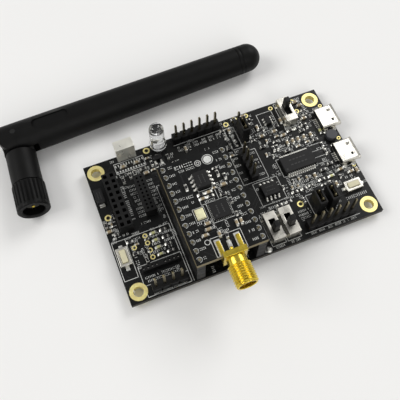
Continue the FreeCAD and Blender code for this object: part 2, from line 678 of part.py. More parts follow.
def place_rings():
    """Plated barrels with a ring on both faces of the board."""
    rings = []
    for place, (x, y) in enumerate(mounting_spots()):
        parts = [rod(f"ring{place}_barrel", "mounting_hole_radius + plating_wall",
                     "board_thickness + 2 * ring_lip", x, y, "-ring_lip"),
                 rod(f"ring{place}_top", "ring_radius", "ring_lip", x, y, BOARD_TOP),
                 rod(f"ring{place}_under", "ring_radius", "ring_lip", x, y, "-ring_lip")]
        bore = rod(f"ring{place}_bore", "mounting_hole_radius", "board_thickness + 2 * cut_past", x, y,
                   "-cut_past")
        rings.append(cut(f"ring{place}", fuse(f"ring{place}_solid", parts), [bore]))
    node(group("ring_set", rings), "mounting_hole_rings")


def place_main_board():
    """Main board with its mounting holes and every pin hole."""
    holes = [(x, y, "mounting_hole_radius + plating_wall") for x, y in mounting_spots()]
    blank = plate_body("main_board_blank", "board_length", "board_width", "board_thickness", holes)
    drilled("main_board", blank, drills, "board_thickness", "0")


# ---------------------------------------------------------------- lamp and receiver

def place_receiver():
    """Infrared receiver in its sheet metal shield, with three leads."""
    x = f"{LEFT} + receiver_x"
    y = f"{REAR} - receiver_y"
    bottom = f"{BOARD_TOP} + receiver_gap"
    lens_z = f"{bottom} + receiver_lens_rise"
    face_y = f"{y} + receiver_depth / 2"
    lead_y = f"{y} - receiver_lead_inset"
    outside = block("shield_outside", "receiver_width", "receiver_depth", "receiver_height", x, y, bottom)
    inside = block("shield_inside", "receiver_width - 2 * shield_wall",
                   "receiver_depth - 2 * shield_wall", "receiver_height - shield_wall + cut_past",
                   x, y, f"{bottom} - cut_past")
    window = rod("shield_window", "receiver_lens + receiver_lens_gap", "shield_wall + 2 * cut_past", x,
                 f"{face_y} + cut_past", lens_z, Z_TO_MINUS_Y)
    node(cut("shield_sheet", outside, [inside, window]), "infrared_shield")
    leads = []
    for place, offset in enumerate(centred(3, "receiver_pitch")):
        lead_x = f"{x} + {offset}"
        drill("lead_side", lead_x, lead_y)
        leads.append(block(f"receiver_lead{place}", "lead_side", "lead_side",
                           "tail_drop + board_thickness + receiver_gap + receiver_lead_hold",
                           lead_x, lead_y, FLOOR))
    core = block("receiver_core", "receiver_width - 2 * shield_wall",
                 "receiver_depth - 2 * shield_wall", "receiver_height - shield_wall", x, y, bottom)
    lens = ball("receiver_lens_ball", "receiver_lens", x, f"{face_y} - receiver_lens_sink", lens_z)
    node(cut("receiver_body", fuse("receiver_solid", [core, lens]), leads), "infrared_receiver")
    return leads


def place_lamp():
    """Clear five millimetre lamp with a rim and two leads."""
    x = f"{LEFT} + lamp_x"
    y = f"{REAR} - lamp_y"
    bottom = f"{BOARD_TOP} + lamp_gap"
    leads = []
    for place, offset in enumerate(centred(2, "header_pitch")):
        lead_x = f"{x} + {offset}"
        drill("lead_side", lead_x, y)
        leads.append(block(f"lamp_lead{place}", "lead_side", "lead_side",
                           "tail_drop + board_thickness + lamp_gap + lamp_lead_hold", lead_x, y,
                           FLOOR))
    parts = [rod("lamp_rim_disc", "lamp_radius + lamp_step", "lamp_rim", x, y, bottom),
             rod("lamp_barrel", "lamp_radius", "lamp_height - lamp_radius", x, y, bottom),
             ball("lamp_dome", "lamp_radius", x, y, f"{bottom} + lamp_height - lamp_radius")]
    node(cut("lamp_body", fuse("lamp_solid", parts), leads), "clear_lamp")
    return leads


# ---------------------------------------------------------------- USB ports

def place_usb():
    """Two micro ports that reach past the right edge."""
    x = f"{RIGHT} - usb_x"
    back_x = f"{x} - usb_length / 2 + usb_back"
    tongues = []
    for name, y in (("rear", USB_REAR_Y), ("front", f"{USB_REAR_Y} - usb_width - usb_port_gap")):
        outside = block(f"usb_{name}_outside", "usb_length", "usb_width", "usb_height", x, y, BOARD_TOP)
        inside = block(f"usb_{name}_inside", "usb_length + 2 * cut_past", "usb_width - 2 * usb_wall",
                       "usb_height - 2 * usb_wall", x, y, f"{BOARD_TOP} + usb_wall")
        node(cut(f"usb_{name}_sheet", outside, [inside]), f"usb_shell_{name}")
        back = block(f"usb_{name}_back", "usb_back", "usb_width - 2 * usb_wall",
                     "usb_height - 2 * usb_wall", f"{back_x} - usb_back / 2", y,
                     f"{BOARD_TOP} + usb_wall")
        tongue = block(f"usb_{name}_blade", "usb_tongue_length + join", "usb_tongue_width",
                       "usb_tongue_thickness", f"{back_x} + (usb_tongue_length - join) / 2", y,
                       f"{BOARD_TOP} + usb_height - usb_wall - usb_tongue_drop - usb_tongue_thickness")
        tongues.append(fuse(f"usb_{name}_insert", [back, tongue]))
    node(group("usb_insert_set", tongues), "usb_tongues")


# ---------------------------------------------------------------- switches and buttons

def slide_switch(name, knob_label, x, y, end):
    """Metal housing, plastic base and knob; end is -1 or 1, the side the knob rests at."""
    slot = "switch_travel + knob_side + 2 * knob_gap"
    outside = block(f"{name}_outside", "switch_width", "switch_length", "switch_height", x, y, BOARD_TOP)
    inside = block(f"{name}_inside", "switch_width - 2 * switch_wall",
                   "switch_length - 2 * switch_wall", "switch_height - switch_wall + cut_past", x, y,
                   f"{BOARD_TOP} - cut_past")
    window = block(f"{name}_window", "knob_width + 2 * knob_gap", slot, "2 * cut_past", x, y,
                   f"{BOARD_TOP} + switch_height - cut_past")
    shell = cut(f"{name}_shell", outside, [inside, window])
    base = block(f"{name}_base", "switch_width - 2 * switch_wall", "switch_length - 2 * switch_wall",
                 "switch_base", x, y, BOARD_TOP)
    knob_y = f"{y} + {end} * switch_travel / 2"
    slider_z = f"{BOARD_TOP} + switch_base + slider_gap"
    slider = block(f"{name}_slider", "switch_width - 2 * switch_wall - 2 * slider_gap",
                   "slider_length", "slider_height", x, knob_y, slider_z)
    stem = block(f"{name}_stem", "knob_width", "knob_side",
                 "switch_height + knob_rise - switch_base - slider_gap - join", x, knob_y,
                 f"{slider_z} + join")
    node(fuse(f"{name}_knob", [slider, stem]), knob_label)
    return shell, base


def place_switches():
    """Two selector switches at the front and the power switch at the rear."""
    shells = []
    bases = []
    for name, label, x, y, end in (
            ("switch_left", "switch_knob_left", f"{RIGHT} - switch_left_x",
             f"{FRONT} + switch_front_y", -1),
            ("switch_right", "switch_knob_right", f"{RIGHT} - switch_right_x",
             f"{FRONT} + switch_front_y", -1),
            ("switch_power", "switch_knob_power", f"{RIGHT} - switch_power_x",
             f"{REAR} - switch_power_y", 1)):
        shell, base = slide_switch(name, label, x, y, end)
        shells.append(shell)
        bases.append(base)
    node(group("switch_shell_set", shells), "switch_housings")
    node(group("switch_base_set", bases), "switch_bases")


def push_button(name, label, x, y, width, length):
    """Low metal frame with a pocket, and the plunger that moves in it."""
    frame = block(f"{name}_frame", width, length, "button_height", x, y, BOARD_TOP)
    plunger_x = f"{width} - 2 * button_rim"
    plunger_y = f"{length} - 2 * button_rim"
    floor_z = f"{BOARD_TOP} + button_floor"
    lift = "button_travel + button_rest"
    pocket = block(f"{name}_pocket", f"{plunger_x} + 2 * button_gap", f"{plunger_y} + 2 * button_gap",
                   "button_height - button_floor + cut_past", x, y, floor_z)
    plunger = block(f"{name}_plunger", plunger_x, plunger_y,
                    f"button_height - button_floor + button_rise - ({lift})", x, y,
                    f"{floor_z} + {lift}")
    node(plunger, label)
    return cut(f"{name}_box", frame, [pocket])


def place_buttons():
    """The two push buttons."""
    frames = [push_button("side_button", "side_button_plunger", f"{LEFT} + side_button_x",
                          f"{FRONT} + side_button_y", "side_button_width", "side_button_length"),
              push_button("corner_button", "corner_button_plunger", f"{RIGHT} - corner_button_x",
                          f"{FRONT} + corner_button_y", "corner_button_width",
                          "corner_button_length")]
    node(group("button_frame_set", frames), "button_frames")


# ---------------------------------------------------------------- chips

def gull_wing(name, width, reach, rise):
    """Lead from a chip side at the origin: shoulder, riser halfway and foot along +Y."""
    shoulder = block(f"{name}_shoulder", width, f"{reach} / 2", "lead_sheet", "0",
                     f"{reach} / 4", f"{rise} - lead_sheet")
    riser = block(f"{name}_riser", width, "lead_sheet", rise, "0", f"{reach} / 2", "0")
    foot = block(f"{name}_foot", width, f"{reach} / 2", "lead_sheet", "0", f"{reach} * 3 / 4", "0")
    return fuse(name, [shoulder, riser, foot])


def lead_rows(name, master, count, pitch, half_width, x, y, z, along="x"):
    """Leads on both long sides of a chip."""
    places = []
    for offset in centred(count, pitch):
        if along == "x":
            places.append((f"{x} + {offset}", f"{y} + {half_width}", z, 0))
            places.append((f"{x} + {offset}", f"{y} - ({half_width})", z, 180))
        else:
            places.append((f"{x} + {half_width}", f"{y} + {offset}", z, -90))
            places.append((f"{x} - ({half_width})", f"{y} + {offset}", z, 90))
    return copies(name, master, places)


def place_main_chips(wide, small):
    """Chips of the main board and all their leads."""
    narrow = gull_wing("narrow_lead_master", "narrow_lead", "lead_reach", "lead_rise")
    bridge_x = f"{RIGHT} - bridge_x"
    bridge_y = f"{REAR} - bridge_y"
    seat = f"{BOARD_TOP} + chip_gap"
    node(block("bridge_body", "bridge_length", "bridge_width", "chip_height", bridge_x, bridge_y, seat),
         "bridge_chip")
    memory_x = f"{RIGHT} - memory_x"
    memory_y = f"{FRONT} + memory_y"
    node(block("memory_body", "soic_length", "soic_width", "chip_height", memory_x, memory_y, seat),
         "memory_chip")
    regulator_x = f"{RIGHT} - regulator_x"
    regulator_y = f"{REAR} - regulator_y"
    transistor_x = f"{LEFT} + transistor_x"
    transistor_y = f"{REAR} - transistor_y"
    small_bodies = [
        block("regulator_body", "small_chip_width", "small_chip_length", "small_chip_height",
              regulator_x, regulator_y, seat),
        block("transistor_body", "small_chip_length", "small_chip_width", "small_chip_height",
              transistor_x, transistor_y, seat),
        block("diode_body", "diode_width", "diode_length", "diode_height",
              f"{LEFT} + diode_x", f"{REAR} - diode_y", seat)]
    node(group("small_body_set", small_bodies), "small_chips")
    leads = lead_rows("bridge_lead", narrow, 14, "bridge_pitch", "bridge_width / 2",
                      bridge_x, bridge_y, BOARD_TOP)
    leads += lead_rows("memory_lead", wide, 4, "soic_pitch", "soic_width / 2",
                       memory_x, memory_y, BOARD_TOP)
    leads += lead_rows("regulator_lead", small, 3, "small_chip_pitch", "small_chip_width / 2",
                       regulator_x, regulator_y, BOARD_TOP, along="y")
    leads += copies("transistor_lead", small, [
        (transistor_x, f"{transistor_y} + small_chip_width / 2", BOARD_TOP, 0),
        (f"{transistor_x} - small_chip_pitch", f"{transistor_y} - small_chip_width / 2", BOARD_TOP, 180),
        (f"{transistor_x} + small_chip_pitch", f"{transistor_y} - small_chip_width / 2", BOARD_TOP, 180)])
    for place, side in enumerate((-1, 1)):
        leads.append(block(f"diode_terminal{place}", "terminal_width", "terminal_reach",
                           "terminal_height", f"{LEFT} + diode_x",
                           f"{REAR} - diode_y + {side} * (diode_length + terminal_reach) / 2",
                           BOARD_TOP))
    node(group("main_lead_set", leads), "chip_leads")
    node(rod("inductor_body", "inductor_radius", "inductor_height", f"{RIGHT} - inductor_x",
             f"{USB_REAR_Y} - usb_width / 2 - inductor_gap - inductor_radius", BOARD_TOP), "inductor")


# distances from the named edges, then the direction of the long side
CAPACITORS = [
    ("left", "rear", 11.45, 4.2, "x"), ("left", "rear", 15.75, 4.2, "x"),
    ("left", "rear", 31.2, 5.4, "y"), ("left", "rear", 45.95, 4.3, "y"),
    ("right", "rear", 23.0, 6.6, "y"), ("right", "rear", 22.9, 9.9, "x"),
    ("right", "rear", 18.6, 9.7, "x"), ("right", "rear", 16.5, 12.0, "x"),
    ("right", "rear", 16.5, 15.0, "y"), ("right", "rear", 14.7, 15.0, "y"),
    ("right", "rear", 12.9, 15.0, "y"), ("right", "rear", 10.9, 15.0, "y"),
    ("right", "rear", 8.6, 15.0, "y"), ("right", "rear", 8.0, 8.8, "x"),
    ("right", "rear", 15.15, 6.9, "y"), ("right", "front", 13.7, 17.2, "y"),
    ("right", "front", 5.6, 16.4, "x"), ("right", "front", 3.0, 14.6, "x"),
    ("right", "front", 8.9, 12.4, "y"),
]
RESISTORS = [
    ("left", "front", 5.55, 17.7, "x"), ("left", "front", 15.6, 17.9, "x"),
    ("left", "front", 15.6, 15.6, "x"), ("left", "front", 15.6, 13.3, "x"),
    ("left", "front", 15.6, 11.1, "x"), ("left", "rear", 19.9, 6.2, "y"),
    ("left", "rear", 21.05, 7.6, "y"),
    ("right", "rear", 21.3, 15.2, "y"), ("right", "rear", 20.1, 15.2, "y"),
    ("right", "rear", 11.4, 11.2, "x"), ("right", "rear", 13.8, 11.2, "x"),
    ("right", "rear", 8.4, 11.4, "y"), ("right", "rear", 6.9, 19.4, "y"),
    ("right", "rear", 6.9, 21.9, "y"), ("right", "front", 21.5, 14.6, "x"),
    ("right", "front", 18.5, 14.6, "x"), ("right", "front", 12.2, 15.4, "x"),
    ("right", "front", 10.6, 13.3, "y"), ("right", "front", 27.6, 12.4, "x"),
    ("right", "front", 24.6, 12.4, "x"),
]
LAMPS = [
    ("left", "front", 12.65, 17.9, "x"), ("left", "front", 12.65, 15.6, "x"),
    ("left", "front", 12.65, 13.3, "x"), ("left", "front", 12.65, 11.1, "x"),
    ("right", "front", 9.1, 15.4, "x"), ("right", "rear", 5.2, 14.6, "y"),
]
MODULE_PARTS = [
    (-5.0, -8.4, "x", "capacitor"), (4.1, -8.0, "y", "capacitor"), (5.4, -8.0, "y", "capacitor"),
    (-1.4, -9.4, "y", "capacitor"), (0.2, -10.4, "y", "capacitor"), (6.4, 5.9, "y", "capacitor"),
    (4.9, 7.6, "y", "resistor"), (-1.7, 3.1, "x", "resistor"), (0.5, 3.1, "x", "resistor"),
    (-1.7, 1.8, "x", "resistor"), (0.5, 1.8, "x", "resistor"), (-4.7, 6.6, "y", "resistor"),
]


def edge_place(side_x, side_y, dx, dy):
    """Board position at given distances from two named edges."""
    x = f"{LEFT} + {dx}" if side_x == "left" else f"{RIGHT} - {dx}"
    y = f"{FRONT} + {dy}" if side_y == "front" else f"{REAR} - {dy}"
    return x, y


def chip_part(name, x, y, z, height, along):
    """One small two-ended part."""
    size = ("chip_part_length", "chip_part_width")
    if along == "y":
        size = size[::-1]
    return block(name, size[0], size[1], height, x, y, z)


def place_chip_parts():
    """Small resistors, capacitors and lamps of the main board."""
    for label, table, height in (("chip_capacitors", CAPACITORS, "capacitor_height"),
                                 ("chip_resistors", RESISTORS, "resistor_height"),
                                 ("status_lamps", LAMPS, "status_lamp_height")):
        parts = []
        for place, (side_x, side_y, dx, dy, along) in enumerate(table):
            x, y = edge_place(side_x, side_y, dx, dy)
            parts.append(chip_part(f"{label}_{place}", x, y, BOARD_TOP, height, along))
        node(group(label + "_set", parts), label)


# ---------------------------------------------------------------- radio module

def place_module(wide):
    """Module board, its pin strips, chips and small parts."""
    rows = centred(round(number("module_pin_count")), "header_pitch")
    pin_below = "(socket_hole_depth - module_pin_gap)"
    strips = []
    pins = []
    for side in ("-", "+"):
        x = f"{MODULE_X} {side} module_row_spacing / 2"
        row_pins = []
        for place, row in enumerate(rows):
            y = f"{MODULE_Y} + {row}"
            drill("header_pin", x, y, module_drills)
            row_pins.append(block("module_pin", "header_pin", "header_pin",
                                  f"{pin_below} + strip_height + module_thickness + module_pin_above",
                                  x, y, f"{SOCKET_TOP} - {pin_below}"))
        bar = block("module_bar", "strip_width", f"{ROW_LENGTH} - strip_trim", "strip_height", x,
                    MODULE_Y, SOCKET_TOP)
        strips.append(cut("module_strip", bar, row_pins))
        pins += row_pins
    node(group("module_strip_set", strips), "module_pin_strips")
    node(group("module_pin_set", pins), "module_pins")

    blank = plate_body("module_board_blank", "module_row_spacing + 2 * module_side", MODULE_LENGTH,
                       "module_thickness", [])
    put(blank, MODULE_X, MODULE_Y, MODULE_BOTTOM)
    drilled("module_board", blank, module_drills, "module_thickness", MODULE_BOTTOM)

    node(block("radio_body", "radio_side", "radio_side", "radio_height",
               f"{MODULE_X} + radio_x", f"{MODULE_Y} + radio_y", MODULE_TOP), "radio_chip")
    flash_x = f"{MODULE_X} + flash_x"
    flash_y = f"{MODULE_Y} + flash_y"
    node(block("flash_body", "soic_width", "soic_length", "chip_height", flash_x, flash_y,
               f"{MODULE_TOP} + chip_gap"), "flash_chip")
    leads = lead_rows("flash_lead", wide, 4, "soic_pitch", "soic_width / 2", flash_x, flash_y,
                      MODULE_TOP, along="y")
    node(group("flash_lead_set", leads), "flash_chip_leads")
    node(block("crystal_can", "crystal_width", "crystal_length", "crystal_height",
               f"{MODULE_X} + crystal_x", f"{MODULE_Y} + crystal_y", MODULE_TOP), "crystal")
    parts = []
    for place, (dx, dy, along, kind) in enumerate(MODULE_PARTS):
        parts.append(chip_part(f"module_part{place}", f"{MODULE_X} + {dx}", f"{MODULE_Y} + {dy}",
                               MODULE_TOP, f"{kind}_height", along))
    node(group("module_part_set", parts), "module_chip_parts")


def place_jack():
    """Edge mounted coaxial jack: gold body, white insulator and centre contact."""
    axis_z = f"{MODULE_TOP} + sma_contact_radius + sma_contact_gap"
    flange_front = f"{MODULE_FRONT} - sma_flange_depth"
    thread_start = f"{flange_front} - sma_neck_length"
    flange = block("jack_flange", "sma_flange", "sma_flange_depth", "sma_flange", MODULE_X,
                   f"{MODULE_FRONT} - sma_flange_depth / 2", f"{axis_z} - sma_flange / 2")
    neck = rod("jack_neck", "sma_neck_radius", "sma_neck_length + 2 * join", MODULE_X,
               f"{flange_front} + join", axis_z, Z_TO_MINUS_Y)
    thread = rod("jack_thread", "sma_thread_radius", "sma_thread_length", MODULE_X, thread_start,
                 axis_z, Z_TO_MINUS_Y)
    legs = []
    for place, (side, z) in enumerate(((-1, MODULE_TOP), (1, MODULE_TOP),
                                       (-1, f"{MODULE_BOTTOM} - sma_leg"),
                                       (1, f"{MODULE_BOTTOM} - sma_leg"))):
        legs.append(block(f"jack_leg{place}", "sma_leg", "sma_leg_length + join", "sma_leg",
                          f"{MODULE_X} + {side} * (sma_flange - sma_leg) / 2",
                          f"{MODULE_FRONT} + (sma_leg_length - join) / 2", z))
    jack_length = "sma_flange_depth + sma_neck_length + sma_thread_length"
    mouth = rod("jack_mouth", "sma_bore_radius", "sma_bore_depth + cut_past", MODULE_X,
                f"{thread_start} - sma_thread_length + sma_bore_depth", axis_z, Z_TO_MINUS_Y)
    core = rod("jack_core", "sma_insulator_radius", f"{jack_length} + 2 * cut_past", MODULE_X,
               f"{MODULE_FRONT} + cut_past", axis_z, Z_TO_MINUS_Y)
    body = fuse("jack_solid", [flange, neck, thread] + legs)
    node(cut("jack_body", body, [mouth, core]), "antenna_jack")

    conductor = rod("jack_conductor", "sma_contact_radius",
                    "sma_contact_reach + sma_flange_depth + sma_neck_length + tulip_start + join",
                    MODULE_X, f"{MODULE_FRONT} + sma_contact_reach", axis_z, Z_TO_MINUS_Y)
    tulip_y = f"{thread_start} - tulip_start"
    tulip_length = "sma_thread_length - tulip_inset + tulip_start"
    tulip = rod("jack_tulip", TULIP_RADIUS, tulip_length, MODULE_X, tulip_y, axis_z, Z_TO_MINUS_Y)
    tulip_bore = rod("jack_tulip_bore", "plug_contact_radius", tulip_length, MODULE_X,
                     f"{tulip_y} - tulip_floor", axis_z, Z_TO_MINUS_Y)
    contact = cut("jack_contact_solid", fuse("jack_contact_parts", [conductor, tulip]), [tulip_bore])
    node(contact, "jack_contact")
    insulator = rod("jack_dielectric", "sma_insulator_radius", f"{jack_length} - sma_insulator_inset",
                    MODULE_X, MODULE_FRONT, axis_z, Z_TO_MINUS_Y)
    clear = rod("jack_dielectric_bore", TULIP_RADIUS, f"{jack_length} + 2 * cut_past", MODULE_X,
                f"{MODULE_FRONT} + cut_past", axis_z, Z_TO_MINUS_Y)
    node(cut("jack_insulator_solid", insulator, [clear]), "jack_insulator")


# ---------------------------------------------------------------- antenna

def seat_antenna(item, heading):
    """Move an antenna piece from its own frame to the hinge, turned to its heading."""
    item.Placement = FreeCAD.Placement(FreeCAD.Vector(0, 0, 0),
                                       FreeCAD.Rotation(FreeCAD.Vector(0, 0, 1), number(heading)))
    return bind(item, {"Placement.Base.x": "hinge_x", "Placement.Base.y": "hinge_y",
                       "Placement.Base.z": WHIP_AXIS, "Placement.Rotation.Angle": heading})


def place_whip():
    """Tapered whip with a forked end, in a frame whose X axis is the whip's axis."""
    turned = revolved_body("whip_turned", [
        ("0", "0"), ("0", "whip_radius"), ("whip_length - whip_tip_radius", "whip_tip_radius"),
        ("whip_length - whip_tip_radius", "0")])
    tip = ball("whip_tip", "whip_tip_radius", "whip_length - whip_tip_radius")
    stub = rod("whip_stub", "whip_radius", "whip_radius + join", "-whip_radius", "0", "0", Z_TO_X)
    round_end = rod("whip_round_end", "whip_radius", "4 * whip_radius", "0", "0", "-2 * whip_radius")
    knuckle = common("whip_knuckle", stub, round_end)
    solid = fuse("whip_solid", [turned, tip, knuckle])
    slot_end = "max(whip_radius; tongue_radius) + shoulder_gap"
    slot = block("whip_slot", f"2 * ({slot_end})", "4 * whip_radius",
                 "tongue_thickness + 2 * hinge_gap", "0", "0", "-tongue_thickness / 2 - hinge_gap")
    pin_hole = rod("whip_pin_hole", "elbow_pin_radius", "4 * whip_radius", "0", "0",
                   "-2 * whip_radius")
    hollow_x = "whip_radius + cavity_start"
    hollow_length = f"whip_length - cavity_end - ({hollow_x})"
    cavity = rod("whip_cavity", "cavity_radius", hollow_length, hollow_x, "0", "0", Z_TO_X)
    near_x = "whip_radius + recess_start"
    recess_z = "whip_radius - recess_depth"
    recess = fuse("whip_recess", [
        block("recess_bar", "recess_length", "2 * recess_radius", "recess_depth + cut_past",
              f"{near_x} + recess_length / 2", "0", recess_z),
        rod("recess_near", "recess_radius", "recess_depth + cut_past", near_x, "0", recess_z),
        rod("recess_far", "recess_radius", "recess_depth + cut_past", f"{near_x} + recess_length",
            "0", recess_z)])
    grooves = []
    for place in range(2):
        x = f"whip_length - mark_start + {place} * mark_pitch"
        ring = rod(f"whip_groove{place}", "whip_radius + cut_past", "mark_width", x, "0", "0", Z_TO_X)
        core = rod(f"whip_groove_core{place}", "whip_tip_radius - mark_depth", "3 * mark_width",
                   f"{x} - mark_width", "0", "0", Z_TO_X)
        grooves.append(cut(f"whip_groove_ring{place}", ring, [core]))
    whip = cut("whip_body", solid, [slot, pin_hole, cavity, recess] + grooves)
    node(seat_antenna(whip, "whip_heading"), "antenna_whip")
    pin = rod("elbow_pin_rod", "elbow_pin_radius", "2 * (whip_radius - pin_sink)", "0", "0",
              "-whip_radius + pin_sink")
    node(seat_antenna(group("elbow_pin_set", [pin]), "whip_heading"), "elbow_pin")
    tube_radius = "cavity_radius - radiator_gap"
    sleeve = rod("radiator_tube", tube_radius, f"{hollow_length} - radiator_start - radiator_end",
                 f"{hollow_x} + radiator_start", "0", "0", Z_TO_X)
    bore = rod("radiator_bore", f"{tube_radius} - radiator_wall", f"{hollow_length} + 2 * cut_past",
               f"{hollow_x} - cut_past", "0", "0", Z_TO_X)
    node(seat_antenna(cut("radiator_solid", sleeve, [bore]), "whip_heading"), "antenna_radiator")


def place_antenna_base():
    """Base barrel with its tongue, the spinning nut and the plug inside it."""
    shoulder = "max(whip_radius; tongue_radius) + shoulder_gap"
    tongue = fuse("tongue_solid", [
        rod("tongue_round", "tongue_radius", "tongue_thickness", "0", "0", "-tongue_thickness / 2"),
        block("tongue_bar", f"{shoulder} + join", "2 * min(tongue_radius; base_radius)",
              "tongue_thickness", f"({shoulder} + join) / 2", "0", "-tongue_thickness / 2")])
    barrel = rod("base_barrel", "base_radius", f"base_end - ({shoulder})", shoulder, "0", "0", Z_TO_X)
    bore = rod("tongue_bore", "elbow_pin_radius + hinge_bore_gap", "2 * tongue_thickness", "0", "0",
               "-tongue_thickness")
    base = cut("base_body", fuse("base_solid", [tongue, barrel]), [bore])
    node(seat_antenna(base, "base_heading"), "antenna_base")

    ferrule = fuse("ferrule_parts", [
        rod("ferrule_sleeve", SLEEVE_RADIUS, "sleeve_length + join", "base_end", "0", "0", Z_TO_X),
        rod("ferrule_lip", LIP_RADIUS, "lip_length", "base_end + sleeve_length", "0", "0", Z_TO_X)])
    plug_x = "base_end + plug_seat"
    plug_bore = rod("ferrule_bore", PLUG_RADIUS, "sleeve_length + lip_length", plug_x, "0", "0", Z_TO_X)
    node(seat_antenna(cut("ferrule_body", ferrule, [plug_bore]), "base_heading"), "antenna_ferrule")

    plug_length = f"{NUT_END} - plug_inset - ({plug_x})"
    contact_x = "base_end + plug_contact_start"
    contact = rod("plug_pin", "plug_contact_radius",
                  f"{NUT_END} - plug_inset + plug_contact_proud - ({contact_x})", contact_x, "0", "0",
                  Z_TO_X)
    plug = rod("plug_white", PLUG_RADIUS, plug_length, plug_x, "0", "0", Z_TO_X)
    plug_core = rod("plug_core", "plug_contact_radius", plug_length, contact_x, "0", "0", Z_TO_X)
    node(seat_antenna(cut("plug_insulator", plug, [plug_core]), "base_heading"), "plug_insulator")
    node(seat_antenna(group("plug_contact_set", [contact]), "base_heading"), "plug_contact")


def place_nut():
    """Grooved nut that turns freely on the ferrule."""
    back_x = "base_end + sleeve_length - lip_back_gap"
    front_x = "base_end + sleeve_length + lip_length + lip_front_gap"
    body = revolved_body("nut_turned", [
        (NUT_START, f"{SLEEVE_RADIUS} + sleeve_gap"), (NUT_START, f"{NUT_RADIUS} - nut_chamfer"),
        (f"{NUT_START} + nut_chamfer", NUT_RADIUS), (f"{NUT_END} - nut_chamfer", NUT_RADIUS),
        (NUT_END, f"{NUT_RADIUS} - nut_chamfer"), (NUT_END, f"{THREAD_BORE} + nut_chamfer"),
        (f"{NUT_END} - nut_chamfer", THREAD_BORE), (front_x, THREAD_BORE),
        (front_x, f"{LIP_RADIUS} + sleeve_gap"), (back_x, f"{LIP_RADIUS} + sleeve_gap"),
        (back_x, f"{SLEEVE_RADIUS} + sleeve_gap")])
    groove_sketch = new_sketch(body, "nut_groove_outline", "YZ_Plane")
    add_circle(groove_sketch, f"{NUT_RADIUS} + rib_groove_offset", "0", "rib_groove_radius")
    groove = body.newObject("PartDesign::Pocket", "nut_groove")
    groove.Profile = groove_sketch
    groove.Reversed = True
    bind(groove, {"Length": f"{NUT_END} - nut_band"})
    body.Tip = groove
    doc.recompute()
    spread = body.newObject("PartDesign::PolarPattern", "nut_grooves")
    spread.Originals = [groove]
    spread.Axis = (origin_plane(body, "X_Axis"), [""])
    spread.Angle = 360
    bind(spread, {"Occurrences": "rib_count"})
    body.Tip = spread
    node(seat_antenna(body, "base_heading"), "antenna_nut")


# ---------------------------------------------------------------- build and write

place_headers()
place_selectors()
place_sockets()
leads = place_receiver() + place_lamp()
node(group("through_lead_set", leads), "lamp_and_receiver_leads")
place_usb()
place_switches()
place_buttons()
wide_lead_master = gull_wing("wide_lead_master", "wide_lead", "lead_reach", "lead_rise")
small_lead_master = gull_wing("small_lead_master", "wide_lead", "small_lead_reach", "small_lead_rise")
place_main_chips(wide_lead_master, small_lead_master)
place_chip_parts()
place_module(wide_lead_master)
place_jack()
place_rings()
place_main_board()
place_whip()
place_antenna_base()
place_nut()
doc.recompute()

for item in doc.Objects:
    if {"Invalid", "Error"} & set(item.State):
        raise RuntimeError(f"{item.Label} failed to compute: {item.State}")
for item in nodes:
    if item.Shape.isNull() or not item.Shape.isValid() or not item.Shape.Solids:
        raise RuntimeError(f"{item.Label} has no sound solid")
groove_cut = doc.getObject("nut_turned_turned").Shape.Volume - doc.getObject("nut_turned").Shape.Volume
if groove_cut <= 0:
    raise RuntimeError("the nut has lost its grooves")

os.makedirs("parts", exist_ok=True)
for item in nodes:
    item.Shape.exportStep(f"parts/{item.Label}.step")
    print(f"{item.Label}: {len(item.Shape.Solids)} solids, {item.Shape.Volume:.2f} mm3")
print(len(nodes), "nodes")
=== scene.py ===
"""Looks of the receiver board, its radio module and the loose hinged antenna.

Every size here is in millimetres and is turned into metres when a mesh is made.  Places come
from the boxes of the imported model's nodes; what is only printed or soldered on a board has its
place from the board's centre.
"""

import json
import random
from math import atan2, ceil, cos, pi, radians, sin, tan

import bmesh
import bpy
from mathutils import Matrix, Vector


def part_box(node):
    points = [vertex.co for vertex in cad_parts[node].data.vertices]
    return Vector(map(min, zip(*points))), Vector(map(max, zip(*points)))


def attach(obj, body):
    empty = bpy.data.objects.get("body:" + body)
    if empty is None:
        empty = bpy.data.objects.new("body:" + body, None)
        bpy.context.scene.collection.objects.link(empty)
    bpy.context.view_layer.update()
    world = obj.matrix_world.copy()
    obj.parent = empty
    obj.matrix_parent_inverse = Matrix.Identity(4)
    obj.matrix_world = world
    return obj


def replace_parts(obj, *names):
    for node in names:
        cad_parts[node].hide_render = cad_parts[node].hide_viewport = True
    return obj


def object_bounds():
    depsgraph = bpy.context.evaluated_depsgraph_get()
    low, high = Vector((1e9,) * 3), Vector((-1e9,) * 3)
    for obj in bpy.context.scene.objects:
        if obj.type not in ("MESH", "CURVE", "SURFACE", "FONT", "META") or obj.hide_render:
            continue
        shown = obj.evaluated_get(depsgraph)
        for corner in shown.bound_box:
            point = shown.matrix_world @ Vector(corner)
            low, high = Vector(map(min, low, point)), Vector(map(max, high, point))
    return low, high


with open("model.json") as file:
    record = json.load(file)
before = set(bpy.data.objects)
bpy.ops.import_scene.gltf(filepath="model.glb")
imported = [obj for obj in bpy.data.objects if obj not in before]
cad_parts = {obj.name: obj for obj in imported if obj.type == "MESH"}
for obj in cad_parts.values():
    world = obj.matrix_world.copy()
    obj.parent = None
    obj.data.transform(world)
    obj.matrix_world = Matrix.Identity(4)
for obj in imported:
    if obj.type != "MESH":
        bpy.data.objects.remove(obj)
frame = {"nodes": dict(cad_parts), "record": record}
cad_lo, cad_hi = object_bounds()
MM = 0.001
MAIN = "main_board_assembly"
MODULE = "radio_module"
SUNK = 0.005            # depth that print, copper and pads reach into their board
PRINT_RISE = 0.02
COPPER_RISE = 0.012
SHARP = 38.0            # degrees between two faces that keep a hard edge
CORNERS = ((-1, -1), (1, -1), (1, 1), (-1, 1))
draw = random.Random(41)


# ---- materials

